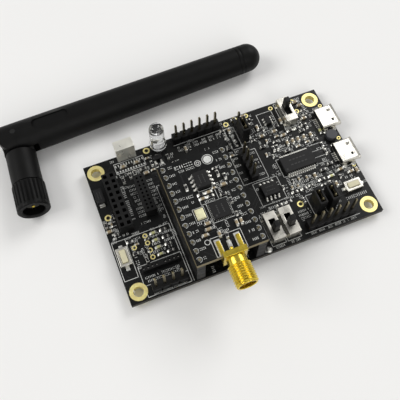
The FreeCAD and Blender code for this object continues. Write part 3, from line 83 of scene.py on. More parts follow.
BLOTCH_SPAN = (0.3, 0.7)     # noise levels where a colour and a gloss reach their ends


def surface(name, colour, rough, metallic=0.0, grain=700.0, spread=0.12, rough_spread=0.08,
            relief=0.004, relief_grain=2500.0, **sockets):
    """Principled material whose colour, gloss and fine relief vary through the solid.

    colour is linear; grain and relief_grain are in cycles per metre; relief is in millimetres.
    """
    made = bpy.data.materials.new(name)
    made.use_nodes = True
    nodes = made.node_tree.nodes
    links = made.node_tree.links
    place = nodes.new("ShaderNodeTexCoord")

    def preset(node, **values):
        for socket, value in values.items():
            node.inputs[socket.replace("_", " ")].default_value = value
        return node

    def noise(scale, detail):
        node = preset(nodes.new("ShaderNodeTexNoise"), Scale=scale, Detail=detail)
        links.new(place.outputs["Object"], node.inputs["Vector"])
        return node.outputs["Fac"]

    shader = preset(nodes["Principled BSDF"], Metallic=metallic, **sockets)
    blotch = noise(grain, 4.0)
    tint = nodes.new("ShaderNodeValToRGB")
    for end, level, scale in zip(tint.color_ramp.elements, BLOTCH_SPAN, (1 - spread, 1 + spread)):
        end.position = level
        end.color = [min(1.0, c * scale) for c in colour] + [1]
    links.new(blotch, tint.inputs["Fac"])
    links.new(tint.outputs["Color"], shader.inputs["Base Color"])
    gloss = preset(nodes.new("ShaderNodeMapRange"), From_Min=BLOTCH_SPAN[0], From_Max=BLOTCH_SPAN[1],
                   To_Min=max(0.02, rough - rough_spread), To_Max=min(1.0, rough + rough_spread))
    links.new(blotch, gloss.inputs["Value"])
    links.new(gloss.outputs["Result"], shader.inputs["Roughness"])
    if relief > 0:
        bump = preset(nodes.new("ShaderNodeBump"), Strength=1.0, Distance=relief * MM)
        links.new(noise(relief_grain, 3.0), bump.inputs["Height"])
        links.new(bump.outputs["Normal"], shader.inputs["Normal"])
    return made


MASK = surface("black_mask", (0.0046, 0.0050, 0.0050), 0.33, grain=160, rough_spread=0.05,
               relief=0.003, relief_grain=900, Specular_IOR_Level=0.24)
MASKED_COPPER = surface("black_mask_over_copper", (0.0095, 0.0100, 0.0105), 0.27, grain=300,
                        relief=0.002, Specular_IOR_Level=0.4)
BOARD_EDGE = surface("board_edge", (0.020, 0.017, 0.012), 0.62, grain=1500, spread=0.3,
                     relief=0.01, relief_grain=6000, Specular_IOR_Level=0.3)
MODULE_EDGE = surface("module_edge", (0.20, 0.165, 0.085), 0.6, grain=1500, spread=0.3,
                      relief=0.01, relief_grain=6000)
INK = surface("white_print", (0.62, 0.63, 0.61), 0.55, grain=2500, spread=0.22, relief=0.004)
GOLD_PAD = surface("gold_pad", (0.99, 0.83, 0.36), 0.42, 0.84, grain=900, spread=0.1, relief=0.003)
SOLDER = surface("solder", (0.72, 0.72, 0.68), 0.36, 1.0, grain=1600, spread=0.15, relief=0.008,
                 relief_grain=1800)
NYLON = surface("black_nylon", (0.0044, 0.0044, 0.0045), 0.48, grain=500, relief=0.008,
                relief_grain=5000, Specular_IOR_Level=0.26)
PIN_GOLD = surface("pin_gold", (0.27, 0.235, 0.145), 0.3, 1.0, grain=1400, spread=0.2)
PIN_TIN = surface("pin_tin", (0.84, 0.83, 0.78), 0.42, 1.0, grain=1400, spread=0.16)
SHEET = surface("tinned_sheet", (0.86, 0.85, 0.77), 0.32, 0.72, grain=260, spread=0.08,
                rough_spread=0.07, relief=0.007, relief_grain=420)
PORT = surface("port_steel", (0.74, 0.72, 0.655), 0.3, 1.0, grain=350, spread=0.07,
               rough_spread=0.1, relief=0.006, relief_grain=1000)
INFRARED = surface("dark_infrared_epoxy", (0.012, 0.007, 0.010), 0.12, relief=0.001, Coat_Weight=0.5)
CLEAR = surface("clear_epoxy", (0.97, 0.98, 0.99), 0.045, grain=300, spread=0.02, rough_spread=0.02,
                relief=0.002, relief_grain=300, Transmission_Weight=1.0, IOR=1.53)
EPOXY = surface("chip_epoxy", (0.0075, 0.0075, 0.0078), 0.52, grain=900, relief=0.006,
                relief_grain=6000, Specular_IOR_Level=0.28)
LASER_MARK = surface("laser_mark", (0.032, 0.032, 0.032), 0.7, grain=3000, spread=0.25, relief=0.0)
FERRITE = surface("ferrite", (0.030, 0.031, 0.036), 0.45, grain=1300, spread=0.3, relief=0.015,
                  relief_grain=3500)
CERAMIC = surface("capacitor_ceramic", (0.30, 0.235, 0.14), 0.42, grain=1800, spread=0.18)
GLAZE = surface("resistor_glaze", (0.010, 0.010, 0.012), 0.22, grain=1500)
RESIN = surface("lamp_resin", (0.55, 0.55, 0.24), 0.25, grain=1600, spread=0.15)
TERMINAL = surface("tinned_terminal", (0.68, 0.67, 0.62), 0.34, 1.0, grain=2200, spread=0.2,
                   relief=0.01, relief_grain=2600)
CRYSTAL_LID = surface("crystal_lid", (0.99, 0.93, 0.62), 0.46, 1.0, grain=700, spread=0.08)
JACK_GOLD = surface("jack_gold", (0.70, 0.53, 0.065), 0.27, 1.0, grain=500, spread=0.1,
                    rough_spread=0.06, relief=0.003, relief_grain=900)
FLUOROPOLYMER = surface("white_fluoropolymer", (0.70, 0.68, 0.60), 0.4, grain=700, spread=0.04)
CREAM = surface("cream_plunger", (0.62, 0.58, 0.40), 0.4, grain=600, spread=0.06)
ANTENNA = surface("antenna_moulding", (0.0034, 0.0034, 0.0033), 0.5, grain=260, rough_spread=0.05,
                  relief=0.009, relief_grain=4500, Specular_IOR_Level=0.15)
PIN_STEEL = surface("pin_steel", (0.016, 0.016, 0.016), 0.5, 0.5, grain=800)
# painted shade: the plug's insulator gets a dark grey in place of its own white, for the shade that lies
# deep inside the plug
PLUG_INSULATOR_PAINTED_SHADE = surface("plug_core", (0.045, 0.042, 0.036), 0.5, grain=700)
FLOOR = surface("pale_floor", (0.86, 0.86, 0.855), 0.7, grain=9, spread=0.012, relief=0.0,
                Specular_IOR_Level=0.2)


# ---- frame and mesh helpers

def node_box(node):
    """Lowest and highest corner of a node, in millimetres."""
    lo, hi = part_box(node)
    return lo / MM, hi / MM


def welded(node):
    """Mesh of a node with its split corners joined, in metres."""
    made = bmesh.new()
    made.from_mesh(frame["nodes"][node].data)
    bmesh.ops.remove_doubles(made, verts=made.verts, dist=1e-7)
    return made


def solids(node):
    """Boxes, in millimetres, of the separate solids of a node, from left to right."""
    made = welded(node)
    seen = set()
    boxes = []
    for start in made.verts:
        if start in seen:
            continue
        seen.add(start)
        waiting = [start]
        corners = []
        while waiting:
            corner = waiting.pop()
            corners.append(corner.co / MM)
            for edge in corner.link_edges:
                other = edge.other_vert(corner)
                if other not in seen:
                    seen.add(other)
                    waiting.append(other)
        boxes.append((Vector([min(c[axis] for c in corners) for axis in range(3)]),
                      Vector([max(c[axis] for c in corners) for axis in range(3)])))
    made.free()
    return sorted(boxes, key=lambda box: (round(box[0].x, 2), round(box[0].y, 2)))


def middle(box):
    return (box[0] + box[1]) / 2


def soften_edges(made, width, clamp):
    """Round off the edges that turn by more than 50 degrees; width is in millimetres."""
    if width:
        edges = [edge for edge in made.edges
                 if len(edge.link_faces) == 2 and edge.calc_face_angle(0) > radians(50)]
        bmesh.ops.bevel(made, geom=edges, offset=width * MM, segments=2, profile=0.5,
                        affect="EDGES", clamp_overlap=clamp)


def settle(name, mesh, body, slot, angle):
    """Piece with smooth round faces and kept edges, tied to its body."""
    piece = bpy.data.objects.new(name, mesh)
    bpy.context.scene.collection.objects.link(piece)
    for face in mesh.polygons:
        face.use_smooth = True
    mesh.set_sharp_from_angle(angle=radians(angle))
    weigh = piece.modifiers.new("even_shading", "WEIGHTED_NORMAL")
    weigh.keep_sharp = True
    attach(piece, body)
    return piece


def dressed(node, body, slot, materials, soften=0.0, choose=None, angle=SHARP):
    """Copy of a node with softened edges and materials chosen for each face."""
    made = welded(node)
    bmesh.ops.dissolve_limit(made, angle_limit=radians(0.5), verts=made.verts, edges=made.edges)
    soften_edges(made, soften, clamp=False)
    for face in made.faces:
        face.material_index = choose(face) if choose else 0
    mesh = bpy.data.meshes.new(node + "_look")
    made.to_mesh(mesh)
    made.free()
    for material in materials:
        mesh.materials.append(material)
    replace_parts(settle(node + "_look", mesh, body, slot, angle), node)


def layer(face_z, up, rise):
    """Lowest and highest z of something thin on a board's upper or lower face."""
    return sorted((face_z - SUNK * up, face_z + rise * up))


class Form:
    """Closed solids gathered into one mesh, in millimetres."""

    def __init__(self, *materials):
        self.materials = materials
        self.points = []
        self.faces = []
        self.finishes = []

    def prism(self, outline, low, high, finish=0):
        """Upright solid over a simple outline that runs anticlockwise."""
        self.wrap([[(x, y, z) for x, y in outline] for z in (low, high)], finish)

    def box(self, lo, hi, finish=0):
        self.prism([(lo[0], lo[1]), (hi[0], lo[1]), (hi[0], hi[1]), (lo[0], hi[1])], lo[2], hi[2],
                   finish)

    def slab(self, x, y, half_x, half_y, low, high):
        """Box about an upright axis."""
        self.box((x - half_x, y - half_y, low), (x + half_x, y + half_y, high))

    def strip(self, start, end, width, low, high):
        """Flat bar between two points."""
        start, end = Vector(start), Vector(end)
        run = end - start
        side = Vector((-run.y, run.x)).normalized() * width / 2
        self.prism([start - side, end - side, end + side, start + side], low, high)

    def taper(self, x, front, rear, half_front, half_rear, low, high):
        """Bar along y that changes its width from front to rear."""
        self.prism([(x - half_front, front), (x + half_front, front), (x + half_rear, rear),
                    (x - half_rear, rear)], low, high)

    def wrap(self, rings, finish=0, ends=True):
        """Skin over rings of equal count; ends closes it with caps, or joins last to first."""
        start = len(self.points)
        sides = len(rings[0])
        faces = []
        for row in range(len(rings) - (1 if ends else 0)):
            near = start + row * sides
            far = start + (row + 1) % len(rings) * sides
            faces += [[near + k, near + (k + 1) % sides, far + (k + 1) % sides, far + k]
                      for k in range(sides)]
        for ring in rings:
            self.points += ring
        if ends:
            faces.append([start + k for k in range(sides)][::-1])
            faces.append([len(self.points) - sides + k for k in range(sides)])
        self.faces += faces
        self.finishes += [finish] * len(faces)

    def turned(self, x, y, profile, sides=24, finish=0, ends=True):
        """Solid turned about an upright axis from (radius, height) steps, bottom first."""
        self.wrap([[(x + radius * cos(2 * pi * k / sides), y + radius * sin(2 * pi * k / sides), z)
                    for k in range(sides)] for radius, z in profile], finish, ends)

    def ring(self, x, y, inner, outer, low, high, sides=28):
        """Flat washer."""
        self.turned(x, y, [(outer, low), (outer, high), (inner, high), (inner, low)], sides,
                    ends=False)

    def piece(self, name, body, slot, soften=0.0, angle=SHARP):
        """The finished mesh as a piece that rides on a body."""
        mesh = bpy.data.meshes.new(name)
        mesh.from_pydata([Vector(point) * MM for point in self.points], [], self.faces)
        for material in self.materials:
            mesh.materials.append(material)
        mesh.polygons.foreach_set("material_index", self.finishes)
        made = bmesh.new()
        made.from_mesh(mesh)
        bmesh.ops.recalc_face_normals(made, faces=made.faces)
        soften_edges(made, soften, clamp=True)
        made.to_mesh(mesh)
        made.free()
        return settle(name, mesh, body, slot, angle)

    def stand_in(self, node, body, slot, soften=0.0, angle=SHARP):
        """The finished mesh as a piece that replaces a node."""
        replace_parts(self.piece(node + "_look", body, slot, soften, angle), node)


# ---- printing on a board

class Print:
    """White ink on one face of a board."""

    def __init__(self, face_z, up=1):
        self.form = Form(INK)
        self.low, self.high = layer(face_z, up, PRINT_RISE)

    def line(self, start, end, width=0.16):
        self.form.strip(start, end, width, self.low, self.high)

    def path(self, points, width=0.16, closed=False):
        ends = points[1:] + points[:1] if closed else points[1:]
        for start, end in zip(points, ends):
            self.line(start, end, width)

    def frame(self, left, front, right, rear, width=0.16):
        self.path([(left, front), (right, front), (right, rear), (left, rear)], width, closed=True)

    def ring(self, x, y, radius, width=0.16):
        self.form.ring(x, y, radius - width / 2, radius + width / 2, self.low, self.high)

    def arc(self, x, y, radius, start, sweep, width=0.12, steps=14):
        angles = [start + sweep * k / steps for k in range(steps + 1)]
        self.path([(x + radius * cos(a), y + radius * sin(a)) for a in angles], width)

    def disc(self, x, y, radius):
        self.form.turned(x, y, [(radius, self.low), (radius, self.high)])

    def label(self, x, y, length, height=0.62, along="x"):
        """Row of upright and level dashes centred on x, y, that stands for small print."""
        step = 0.72 * height
        stroke = 0.17 * height + 0.045
        count = max(1, round(length / step))
        for place in range(count):
            if draw.random() < 0.1:
                continue
            u = (place - (count - 1) / 2) * step
            kind = draw.random()
            if kind < 0.4:
                runs = [((u, -height / 2), (u, height / 2))]
            else:
                half = step * draw.uniform(0.22, 0.34)
                levels = (-0.42, 0.42) if kind < 0.75 else (-0.42, 0.0, 0.42)
                runs = [((u - half, height * level), (u + half, height * level)) for level in levels]
            for start, end in runs:
                if along == "y":
                    start, end = (-start[1], start[0]), (-end[1], end[0])
                self.line((x + start[0], y + start[1]), (x + end[0], y + end[1]), stroke)

    def frames(self, *rows, width=0.14):
        for row in rows:
            self.frame(*row, width)

    def labels(self, *rows):
        """Several labels; a row holds what label takes."""
        for row in rows:
            self.label(*row)

    def piece(self, name, body):
        self.form.piece(name, body, "white_insulator", angle=20)


# ---- camera, light and floor

CAMERA_PLACE = Vector((-35.44, -66.76, 157.18)) * MM
CAMERA_BEARING = radians(21.06)     # from +Y towards +X
CAMERA_DIP = radians(65.34)         # below the horizon
CAMERA_ROLL = radians(-0.62)
CAMERA_LENS = 52.35


def place_camera():
    camera = bpy.data.objects.new("camera", bpy.data.cameras.new("camera"))
    bpy.context.scene.collection.objects.link(camera)
    camera.data.lens = CAMERA_LENS
    camera.data.sensor_width = 36.0
    camera.data.clip_start = 0.005
    camera.matrix_world = (Matrix.Translation(CAMERA_PLACE) @ Matrix.Rotation(-CAMERA_BEARING, 4, "Z")
                           @ Matrix.Rotation(pi / 2 - CAMERA_DIP, 4, "X")
                           @ Matrix.Rotation(CAMERA_ROLL, 4, "Z"))
    bpy.context.scene.camera = camera


LIGHT_SIDE = 0.60
SKY_STRENGTH = 0.40
FLOOR_HALF = 1.5


def soft_light(name, place, target, power, colour):
    """Square area light that faces a target, in metres and watts."""
    lamp = bpy.data.lights.new(name, "AREA")
    lamp.shape = "SQUARE"
    lamp.size = LIGHT_SIDE
    lamp.energy = power
    lamp.color = colour
    made = bpy.data.objects.new(name, lamp)
    made.location = place
    made.rotation_euler = (Vector(target) - Vector(place)).to_track_quat("-Z", "Y").to_euler()
    bpy.context.scene.collection.objects.link(made)


def place_lights():
    soft_light("window_left", (-0.86, 0.22, 0.80), (-0.01, 0.01, 0), 6.0, (1.0, 0.99, 0.97))
    soft_light("window_right", (0.80, 0.46, 0.80), (0.0, 0.01, 0), 6.0, (1.0, 0.995, 0.985))
    soft_light("fill_front", (0.05, -0.90, 0.66), (0.0, 0.0, 0), 2.8, (1.0, 0.99, 0.97))
    world = bpy.data.worlds.new("studio")
    world.use_nodes = True
    sky = world.node_tree.nodes["Background"]
    sky.inputs["Color"].default_value = (0.985, 0.98, 0.975, 1)
    sky.inputs["Strength"].default_value = SKY_STRENGTH
    bpy.context.scene.world = world
    bpy.context.scene.view_settings.view_transform = "Standard"


def place_floor():
    """Pale surface at the height of the lowest solder tail."""
    mesh = bpy.data.meshes.new("floor")
    corners = [(FLOOR_HALF * u, FLOOR_HALF * v, cad_lo.z) for u, v in CORNERS]
    mesh.from_pydata(corners, [], [(0, 1, 2, 3)])
    mesh.materials.append(FLOOR)
    floor = bpy.data.objects.new("floor", mesh)
    bpy.context.scene.collection.objects.link(floor)


# ---- bare boards

MEMBERS = frame["record"]["behaviour"]["bodies"]
BOARD_LO, BOARD_HI = node_box("main_board")
MODULE_LO, MODULE_HI = node_box("module_board")
TOP = BOARD_HI.z
UNDER = BOARD_LO.z
DECK = MODULE_HI.z


def dress_board(node, body, edge):
    """Black mask on both faces, bare laminate round the edge and plated hole walls."""
    lo, hi = node_box(node)

    def choose(face):
        if abs(face.normal.z) > 0.5:
            return 0
        spot = face.calc_center_median() / MM
        inset = min(spot.x - lo.x, hi.x - spot.x, spot.y - lo.y, hi.y - spot.y)
        return 1 if inset < 0.05 else 2

    dressed(node, body, "solder_mask", [MASK, edge, GOLD_PAD], choose=choose)


CELL = 0.42                  # side of the squares that each hold one track
STRIDE = 0.2                 # length of track that is tried at a time
RIM = 0.6                    # bare rim of a board
HOLE_CLEAR_SQUARED = 9.6     # square of the distance from a mounting hole's centre


class Tracks:
    """Copper tracks and vias under the mask of one board face."""

    def __init__(self, lo, hi, face_z, up, holes):
        self.form = Form(MASKED_COPPER)
        self.lo, self.hi, self.holes = lo, hi, holes
        self.low, self.high = layer(face_z, up, COPPER_RISE)
        self.taken = {}

    def cell(self, x, y):
        return round(x / CELL), round(y / CELL)

    def free(self, x, y, owner):
        if any((x - hole_x) ** 2 + (y - hole_y) ** 2 < HOLE_CLEAR_SQUARED
               for hole_x, hole_y in self.holes):
            return False
        return self.taken.get(self.cell(x, y), owner) == owner

    def wander(self, x, y, heading, owner, width=0.2):
        """One track of a few straight runs that stops at other copper and ends in a via."""
        for _ in range(draw.randint(2, 5)):
            steps = ceil(draw.uniform(1.2, 7.0) / STRIDE)
            gone = 0
            for step in range(1, steps + 1):
                near_x = x + cos(heading) * STRIDE * step
                near_y = y + sin(heading) * STRIDE * step
                inside = (self.lo.x + RIM < near_x < self.hi.x - RIM
                          and self.lo.y + RIM < near_y < self.hi.y - RIM)
                if not inside or not self.free(near_x, near_y, owner):
                    break
                self.taken[self.cell(near_x, near_y)] = owner
                gone = step
            if gone < 4:
                break
            end_x = x + cos(heading) * STRIDE * gone
            end_y = y + sin(heading) * STRIDE * gone
            self.form.strip((x, y), (end_x, end_y), width, self.low, self.high)
            x, y = end_x, end_y
            heading += draw.choice((-1, 1)) * pi / 4
        self.form.ring(x, y, 0.13, 0.32, self.low, self.high, sides=12)

    def fill(self, count):
        for owner in range(count):
            x = draw.uniform(self.lo.x + 1.5, self.hi.x - 1.5)
            y = draw.uniform(self.lo.y + 1.5, self.hi.y - 1.5)
            if self.free(x, y, owner):
                self.wander(x, y, draw.randrange(8) * pi / 4, owner)


def place_tracks():
    holes = [tuple(middle(box).xy) for box in solids("mounting_hole_rings")]
    for name, body, lo, hi, face_z, up, keep_clear, count in (
            ("tracks_top", MAIN, BOARD_LO, BOARD_HI, TOP, 1, holes, 190),
            ("tracks_under", MAIN, BOARD_LO, BOARD_HI, UNDER, -1, holes, 230),
            ("tracks_module_top", MODULE, MODULE_LO, MODULE_HI, DECK, 1, (), 60),
            ("tracks_module_under", MODULE, MODULE_LO, MODULE_HI, MODULE_LO.z, -1, (), 60)):
        tracks = Tracks(lo, hi, face_z, up, keep_clear)
        tracks.fill(count)
        tracks.form.piece(name, body, "solder_mask", angle=20)


# ---- pins and solder

PIN_TIP = 0.45               # side of a pin's end as a share of the pin's side


def pointed_pins(node, body, point=0.5):
    """Square pins with chamfered ends in place of plain ones."""
    form = Form(PIN_GOLD)
    for lo, hi in solids(node):
        x, y, _ = middle((lo, hi))
        half = (hi.x - lo.x) / 2
        rings = []
        for scale, z in ((PIN_TIP, lo.z), (1, lo.z + point), (1, hi.z - point), (PIN_TIP, hi.z)):
            side = half * scale
            rings.append([(x + side * u, y + side * v, z) for u, v in CORNERS])
        form.wrap(rings)
    form.stand_in(node, body, "plated_gold", angle=15)


def solder_cones(name, body, spots, face_z, up, pad, rise):
    """Concave solder round pins; spots are (x, y, half side of the pin)."""
    form = Form(SOLDER)
    for x, y, half in spots:
        neck = half * 1.25
        profile = [(pad, 0.0), (pad, 0.04), (neck + (pad - neck) * 0.5, rise * 0.28),
                   (neck + (pad - neck) * 0.18, rise * 0.6), (neck, rise)]
        steps = [(radius, face_z + up * z) for radius, z in profile]
        form.turned(x, y, steps, sides=18)
    form.piece(name, body, "tinned_pin", angle=50)


def pin_spots(node):
    return [(*middle(box).xy, (box[1].x - box[0].x) / 2) for box in solids(node)]


def place_pins():
    headers = ("six_pin_header_pins", "four_pin_header_pins", "selector_pins")
    for node in headers:
        pointed_pins(node, MAIN)
    pointed_pins("module_pins", MODULE, point=0.35)
    coarse = []
    for node in headers + ("dual_socket_contacts", "module_socket_contacts", "lamp_and_receiver_leads"):
        coarse += pin_spots(node)
    solder_cones("solder_under", MAIN, coarse, UNDER, -1, 0.82, 1.0)
    solder_cones("solder_under_fine", MAIN, pin_spots("fine_socket_contacts"), UNDER, -1, 0.46, 0.7)
    solder_cones("solder_on_module", MODULE, pin_spots("module_pins"), DECK, 1, 0.5, 0.3)


# ---- headers, sockets and caps

def place_plastics():
    for node, body, soften in (
            ("six_pin_header_strips", MAIN, 0.1), ("four_pin_header_strips", MAIN, 0.1),
            ("selector_strips", MAIN, 0.1), ("module_pin_strips", MODULE, 0.1),
            ("dual_socket_housing", MAIN, 0.12), ("fine_socket_housings", MAIN, 0.07),
            ("module_sockets", MAIN, 0.1), ("usb_tongues", MAIN, 0.08), ("switch_bases", MAIN, 0.05)):
        dressed(node, body, "black_nylon", [NYLON], soften)
    for side in ("rear", "left", "right"):
        dressed(f"jumper_cap_{side}", f"jumper_{side}", "black_nylon", [NYLON], soften=0.16)
        place_jumper_clip(side)
    for node in ("dual_socket_contacts", "fine_socket_contacts", "module_socket_contacts"):
        paint(node, PIN_TIN)


def place_jumper_clip(side):
    """Bent spring clip inside a jumper cap, seen through its open top."""
    lo, hi = node_box(f"jumper_cap_{side}")
    wall = 0.62
    sheet = 0.12
    form = Form(PIN_GOLD)
    for left in (lo.x + wall, hi.x - wall - sheet):
        form.box((left, lo.y + wall, lo.z + 0.6), (left + sheet, hi.y - wall, hi.z - 0.7))
    form.piece(f"jumper_clip_{side}", f"jumper_{side}", "tinned_pin", soften=0.03)


# ---- leaded chips

MARKED_DEPTH = 2.0           # chips that are narrower than this have no marking


def dress_chip(nodes, body):
    """Moulded body with a dimple at pin one and two faint rows of marking."""
    form = Form(LASER_MARK)
    for node in nodes:
        dressed(node, body, "chip_epoxy", [EPOXY], soften=0.13)
        for lo, hi in solids(node):
            centre = middle((lo, hi))
            wide = hi.x - lo.x >= hi.y - lo.y
            depth, length = sorted((hi.x - lo.x, hi.y - lo.y))
            if depth < MARKED_DEPTH:
                continue
            form.ring(lo.x + depth * 0.16, lo.y + depth * 0.18, 0.05, depth * 0.055, hi.z - SUNK,
                      hi.z + 0.006, sides=16)
            for shift in (0.16 * depth, -0.14 * depth):
                for place in range(-2, 3):
                    u = place * length * 0.11
                    x, y = (u, shift) if wide else (-shift, u)
                    half = (0.036 * length, 0.035 * depth)
                    form.slab(centre.x + x, centre.y + y, *(half if wide else half[::-1]),
                              hi.z - SUNK, hi.z + 0.005)
    form.piece(nodes[0] + "_marking", body, "chip_epoxy", angle=20)


def place_chips():
    dress_chip(["bridge_chip", "memory_chip", "small_chips"], MAIN)
    dress_chip(["flash_chip", "radio_chip"], MODULE)
    for node, body, name, face_z, past_x, past_y in (
            ("chip_leads", MAIN, "main_lead_pads", TOP, 0.06, 0.1),
            ("flash_chip_leads", MODULE, "flash_lead_pads", DECK, 0.15, 0.08)):
        dressed(node, body, "tinned_pin", [PIN_TIN], soften=0.04)
        feet = Form(SOLDER)
        for lo, hi in solids(node):
            feet.box((lo.x - past_x, lo.y - past_y, face_z - SUNK),
                     (hi.x + past_x, hi.y + past_y, face_z + 0.05))
        feet.piece(name, body, "tinned_pin", soften=0.02)
    place_radio_pads()
    dressed("inductor", MAIN, "ferrite", [FERRITE], soften=0.25)


def place_radio_pads():
    """Fine tinned contacts that show round the leadless radio chip."""
    lo, hi = node_box("radio_chip")
    form = Form(SOLDER)
    first = 0.35             # chip's corner to the centre of its first contact
    count = 10
    pitch = (hi.x - lo.x - 2 * first) / (count - 1)
    for place in range(count):
        shift = first + place * pitch
        for y in (lo.y - 0.115, hi.y + 0.115):
            form.slab(lo.x + shift, y, 0.11, 0.165, DECK - SUNK, DECK + 0.04)
        for x in (lo.x - 0.115, hi.x + 0.115):
            form.slab(x, lo.y + shift, 0.165, 0.11, DECK - SUNK, DECK + 0.04)
    form.piece("radio_chip_pads", MODULE, "tinned_pin")


# ---- two ended parts

def two_ended(name, boxes, body, slot, cores, dome=False, end=0.32):
    """Ceramic parts with tinned ends and solder on their pads.

    cores holds one material, or several that neighbouring parts share out in turn.
    """
    form = Form(TERMINAL, SOLDER, *cores)
    for count, (lo, hi) in enumerate(boxes):
        core = 2 + count % len(cores)
        along = 0 if hi.x - lo.x >= hi.y - lo.y else 1
        across = 1 - along

        def spot(u, v, z):
            point = [0, 0, z]
            point[along] = u
            point[across] = v
            return point

        near, far = lo[along], hi[along]
        left, right = lo[across], hi[across]
        form.box(spot(near + end * 0.8, left + 0.03, lo.z + 0.04),
                 spot(far - end * 0.8, right - 0.03, hi.z - 0.03), core)
        if dome:
            form.box(spot(near + end * 1.2, left + 0.12, hi.z - 0.05),
                     spot(far - end * 1.2, right - 0.12, hi.z + 0.12), core)
        form.box(spot(near, left, lo.z), spot(near + end, right, hi.z))
        form.box(spot(far - end, left, lo.z), spot(far, right, hi.z))
        for edge, way in ((near, -1), (far, 1)):
            top = lo.z + (hi.z - lo.z) * 0.6
            foot = lo.z + 0.05
            outer = edge + way * end * 1.2
            rim = ((edge, left, top), (edge, right, top), (outer, right, foot), (outer, left, foot))
            form.wrap([[spot(u, v, lo.z) for u, v, _ in rim], [spot(*place) for place in rim]], 1)
    return form.piece(name, body, slot, soften=0.04)


def place_small_parts():
    for node, body, slot, cores, dome in (
            ("chip_capacitors", MAIN, "capacitor_ceramic", [CERAMIC], False),
            ("chip_resistors", MAIN, "resistor_glaze", [GLAZE], False),
            ("status_lamps", MAIN, "lamp_resin", [RESIN], True),
            ("module_chip_parts", MODULE, "capacitor_ceramic", [CERAMIC, GLAZE], False)):
        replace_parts(two_ended(node + "_look", solids(node), body, slot, cores, dome), node)
    lo, hi = node_box("crystal")
    form = Form(CRYSTAL_LID, FLUOROPOLYMER)
    form.box(lo, (hi.x, hi.y, lo.z + 0.35), 1)
    form.box((lo.x + 0.14, lo.y + 0.14, lo.z + 0.3), (hi.x - 0.14, hi.y - 0.14, hi.z))
    form.stand_in("crystal", MODULE, "crystal_lid", soften=0.1)


# ---- ports, switches, buttons

def rounded(corners, steps=5):
    """Outline through (y, z, radius) corners with round arcs."""
    outline = []
    count = len(corners)
    for place, (y, z, radius) in enumerate(corners):
        corner = Vector((y, z))
        before = (Vector(corners[place - 1][:2]) - corner).normalized()
        after = (Vector(corners[(place + 1) % count][:2]) - corner).normalized()
        turn = before.angle(after)
        reach = radius / tan(turn / 2)
        centre = corner + (before + after).normalized() * radius / sin(turn / 2)
        start = corner + before * reach - centre
        stop = corner + after * reach - centre
        first = atan2(start.y, start.x)
        sweep = (atan2(stop.y, stop.x) - first + pi) % (2 * pi) - pi
        outline += [(centre.x + radius * cos(first + sweep * k / steps),
                     centre.y + radius * sin(first + sweep * k / steps)) for k in range(steps + 1)]
    return outline


PORT_PITCH = 0.65            # between the contacts of a micro port


def port_outline(centre_y, low, high, half, radius):
    """Section of a micro port: flat roof, straight sides and a narrower floor."""
    slope = (high - low) * 0.42
    shoulder = low + slope
    profile = [(half, high), (half, shoulder), (half - slope, low)]
    return rounded([(centre_y - reach, z, radius) for reach, z in profile]
                   + [(centre_y + reach, z, radius) for reach, z in profile[::-1]])


def place_port(node):
    """Drawn steel shell with a flared mouth and two latch windows in its roof."""
    lo, hi = node_box(node)
    centre_y = middle((lo, hi)).y
    half = (hi.y - lo.y) / 2
    wall = 0.28
    foot = lo.z + 0.02
    form = Form(PORT)

    def section(x, low, high, reach, radius):
        return [(x, y, z) for y, z in port_outline(centre_y, low, high, reach, radius)]

    stations = [(lo.x, 0.16), (hi.x - 0.75, 0.16), (hi.x - 0.35, 0.1), (hi.x, 0.0)]
    rings = [section(x, foot, hi.z - inset, half - inset, 0.5) for x, inset in stations]
    rings += [section(x, foot + wall, hi.z - inset - wall, half - inset - wall, 0.3)
              for x, inset in stations[::-1]]
    form.wrap(rings, ends=False)
    form.wrap([section(x, lo.z + 0.1, hi.z - 0.24, half - 0.26, 0.4)
               for x in (lo.x + 0.06, lo.x + 0.36)])
    shell = form.piece(node + "_look", MAIN, "port_steel", angle=30)
    cutters = Form(PORT)
    tabs = Form(PORT, SOLDER)
    for side in (-1, 1):
        cutters.slab(hi.x - 1.7, centre_y + side * 1.75, 0.6, 0.45, hi.z - 1.0, hi.z + 1.0)
        for x in (lo.x + 0.9, lo.x + 3.7):
            tabs.slab(x, centre_y + side * (half - 0.065), 0.5, 0.185, lo.z, lo.z + 1.1)
            tabs.turned(x, centre_y + side * (half + 0.1),
                        [(0.75, TOP), (0.75, TOP + 0.06), (0.4, TOP + 0.3)], finish=1)
    carve(shell, cutters)
    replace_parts(shell, node)
    tabs.piece(node + "_tabs", MAIN, "port_steel", soften=0.05)
    pads = Form(SOLDER)
    for place in range(-2, 3):
        pads.slab(lo.x - 0.475, centre_y + place * PORT_PITCH, 0.675, 0.18, TOP - SUNK, TOP + 0.07)
    pads.piece(node + "_pads", MAIN, "tinned_pin", soften=0.04)


def carve(piece, cutters):
    """Cut the solids of a form out of a piece."""
    tool = cutters.piece(piece.name + "_tool", MAIN, "port_steel")
    cut = piece.modifiers.new("cut", "BOOLEAN")
    cut.operation = "DIFFERENCE"
    cut.solver = "EXACT"
    cut.object = tool
    bpy.context.view_layer.update()
    seen = piece.evaluated_get(bpy.context.evaluated_depsgraph_get())
    carved = bpy.data.meshes.new_from_object(seen)
    piece.modifiers.remove(cut)
    piece.data = carved
    bpy.data.objects.remove(tool)
    for face in carved.polygons:
        face.use_smooth = True
    carved.set_sharp_from_angle(angle=radians(30))


def place_ports():
    for node in ("usb_shell_rear", "usb_shell_front"):
        place_port(node)
    contacts = Form(GOLD_PAD)
    for lo, hi in solids("usb_tongues"):
        for place in range(-2, 3):
            y = middle((lo, hi)).y + place * PORT_PITCH
            contacts.box((lo.x + 1.2, y - 0.16, lo.z - 0.03), (hi.x - 0.25, y + 0.16, lo.z + 0.05))
    contacts.piece("usb_contacts", MAIN, "plated_gold", soften=0.01)


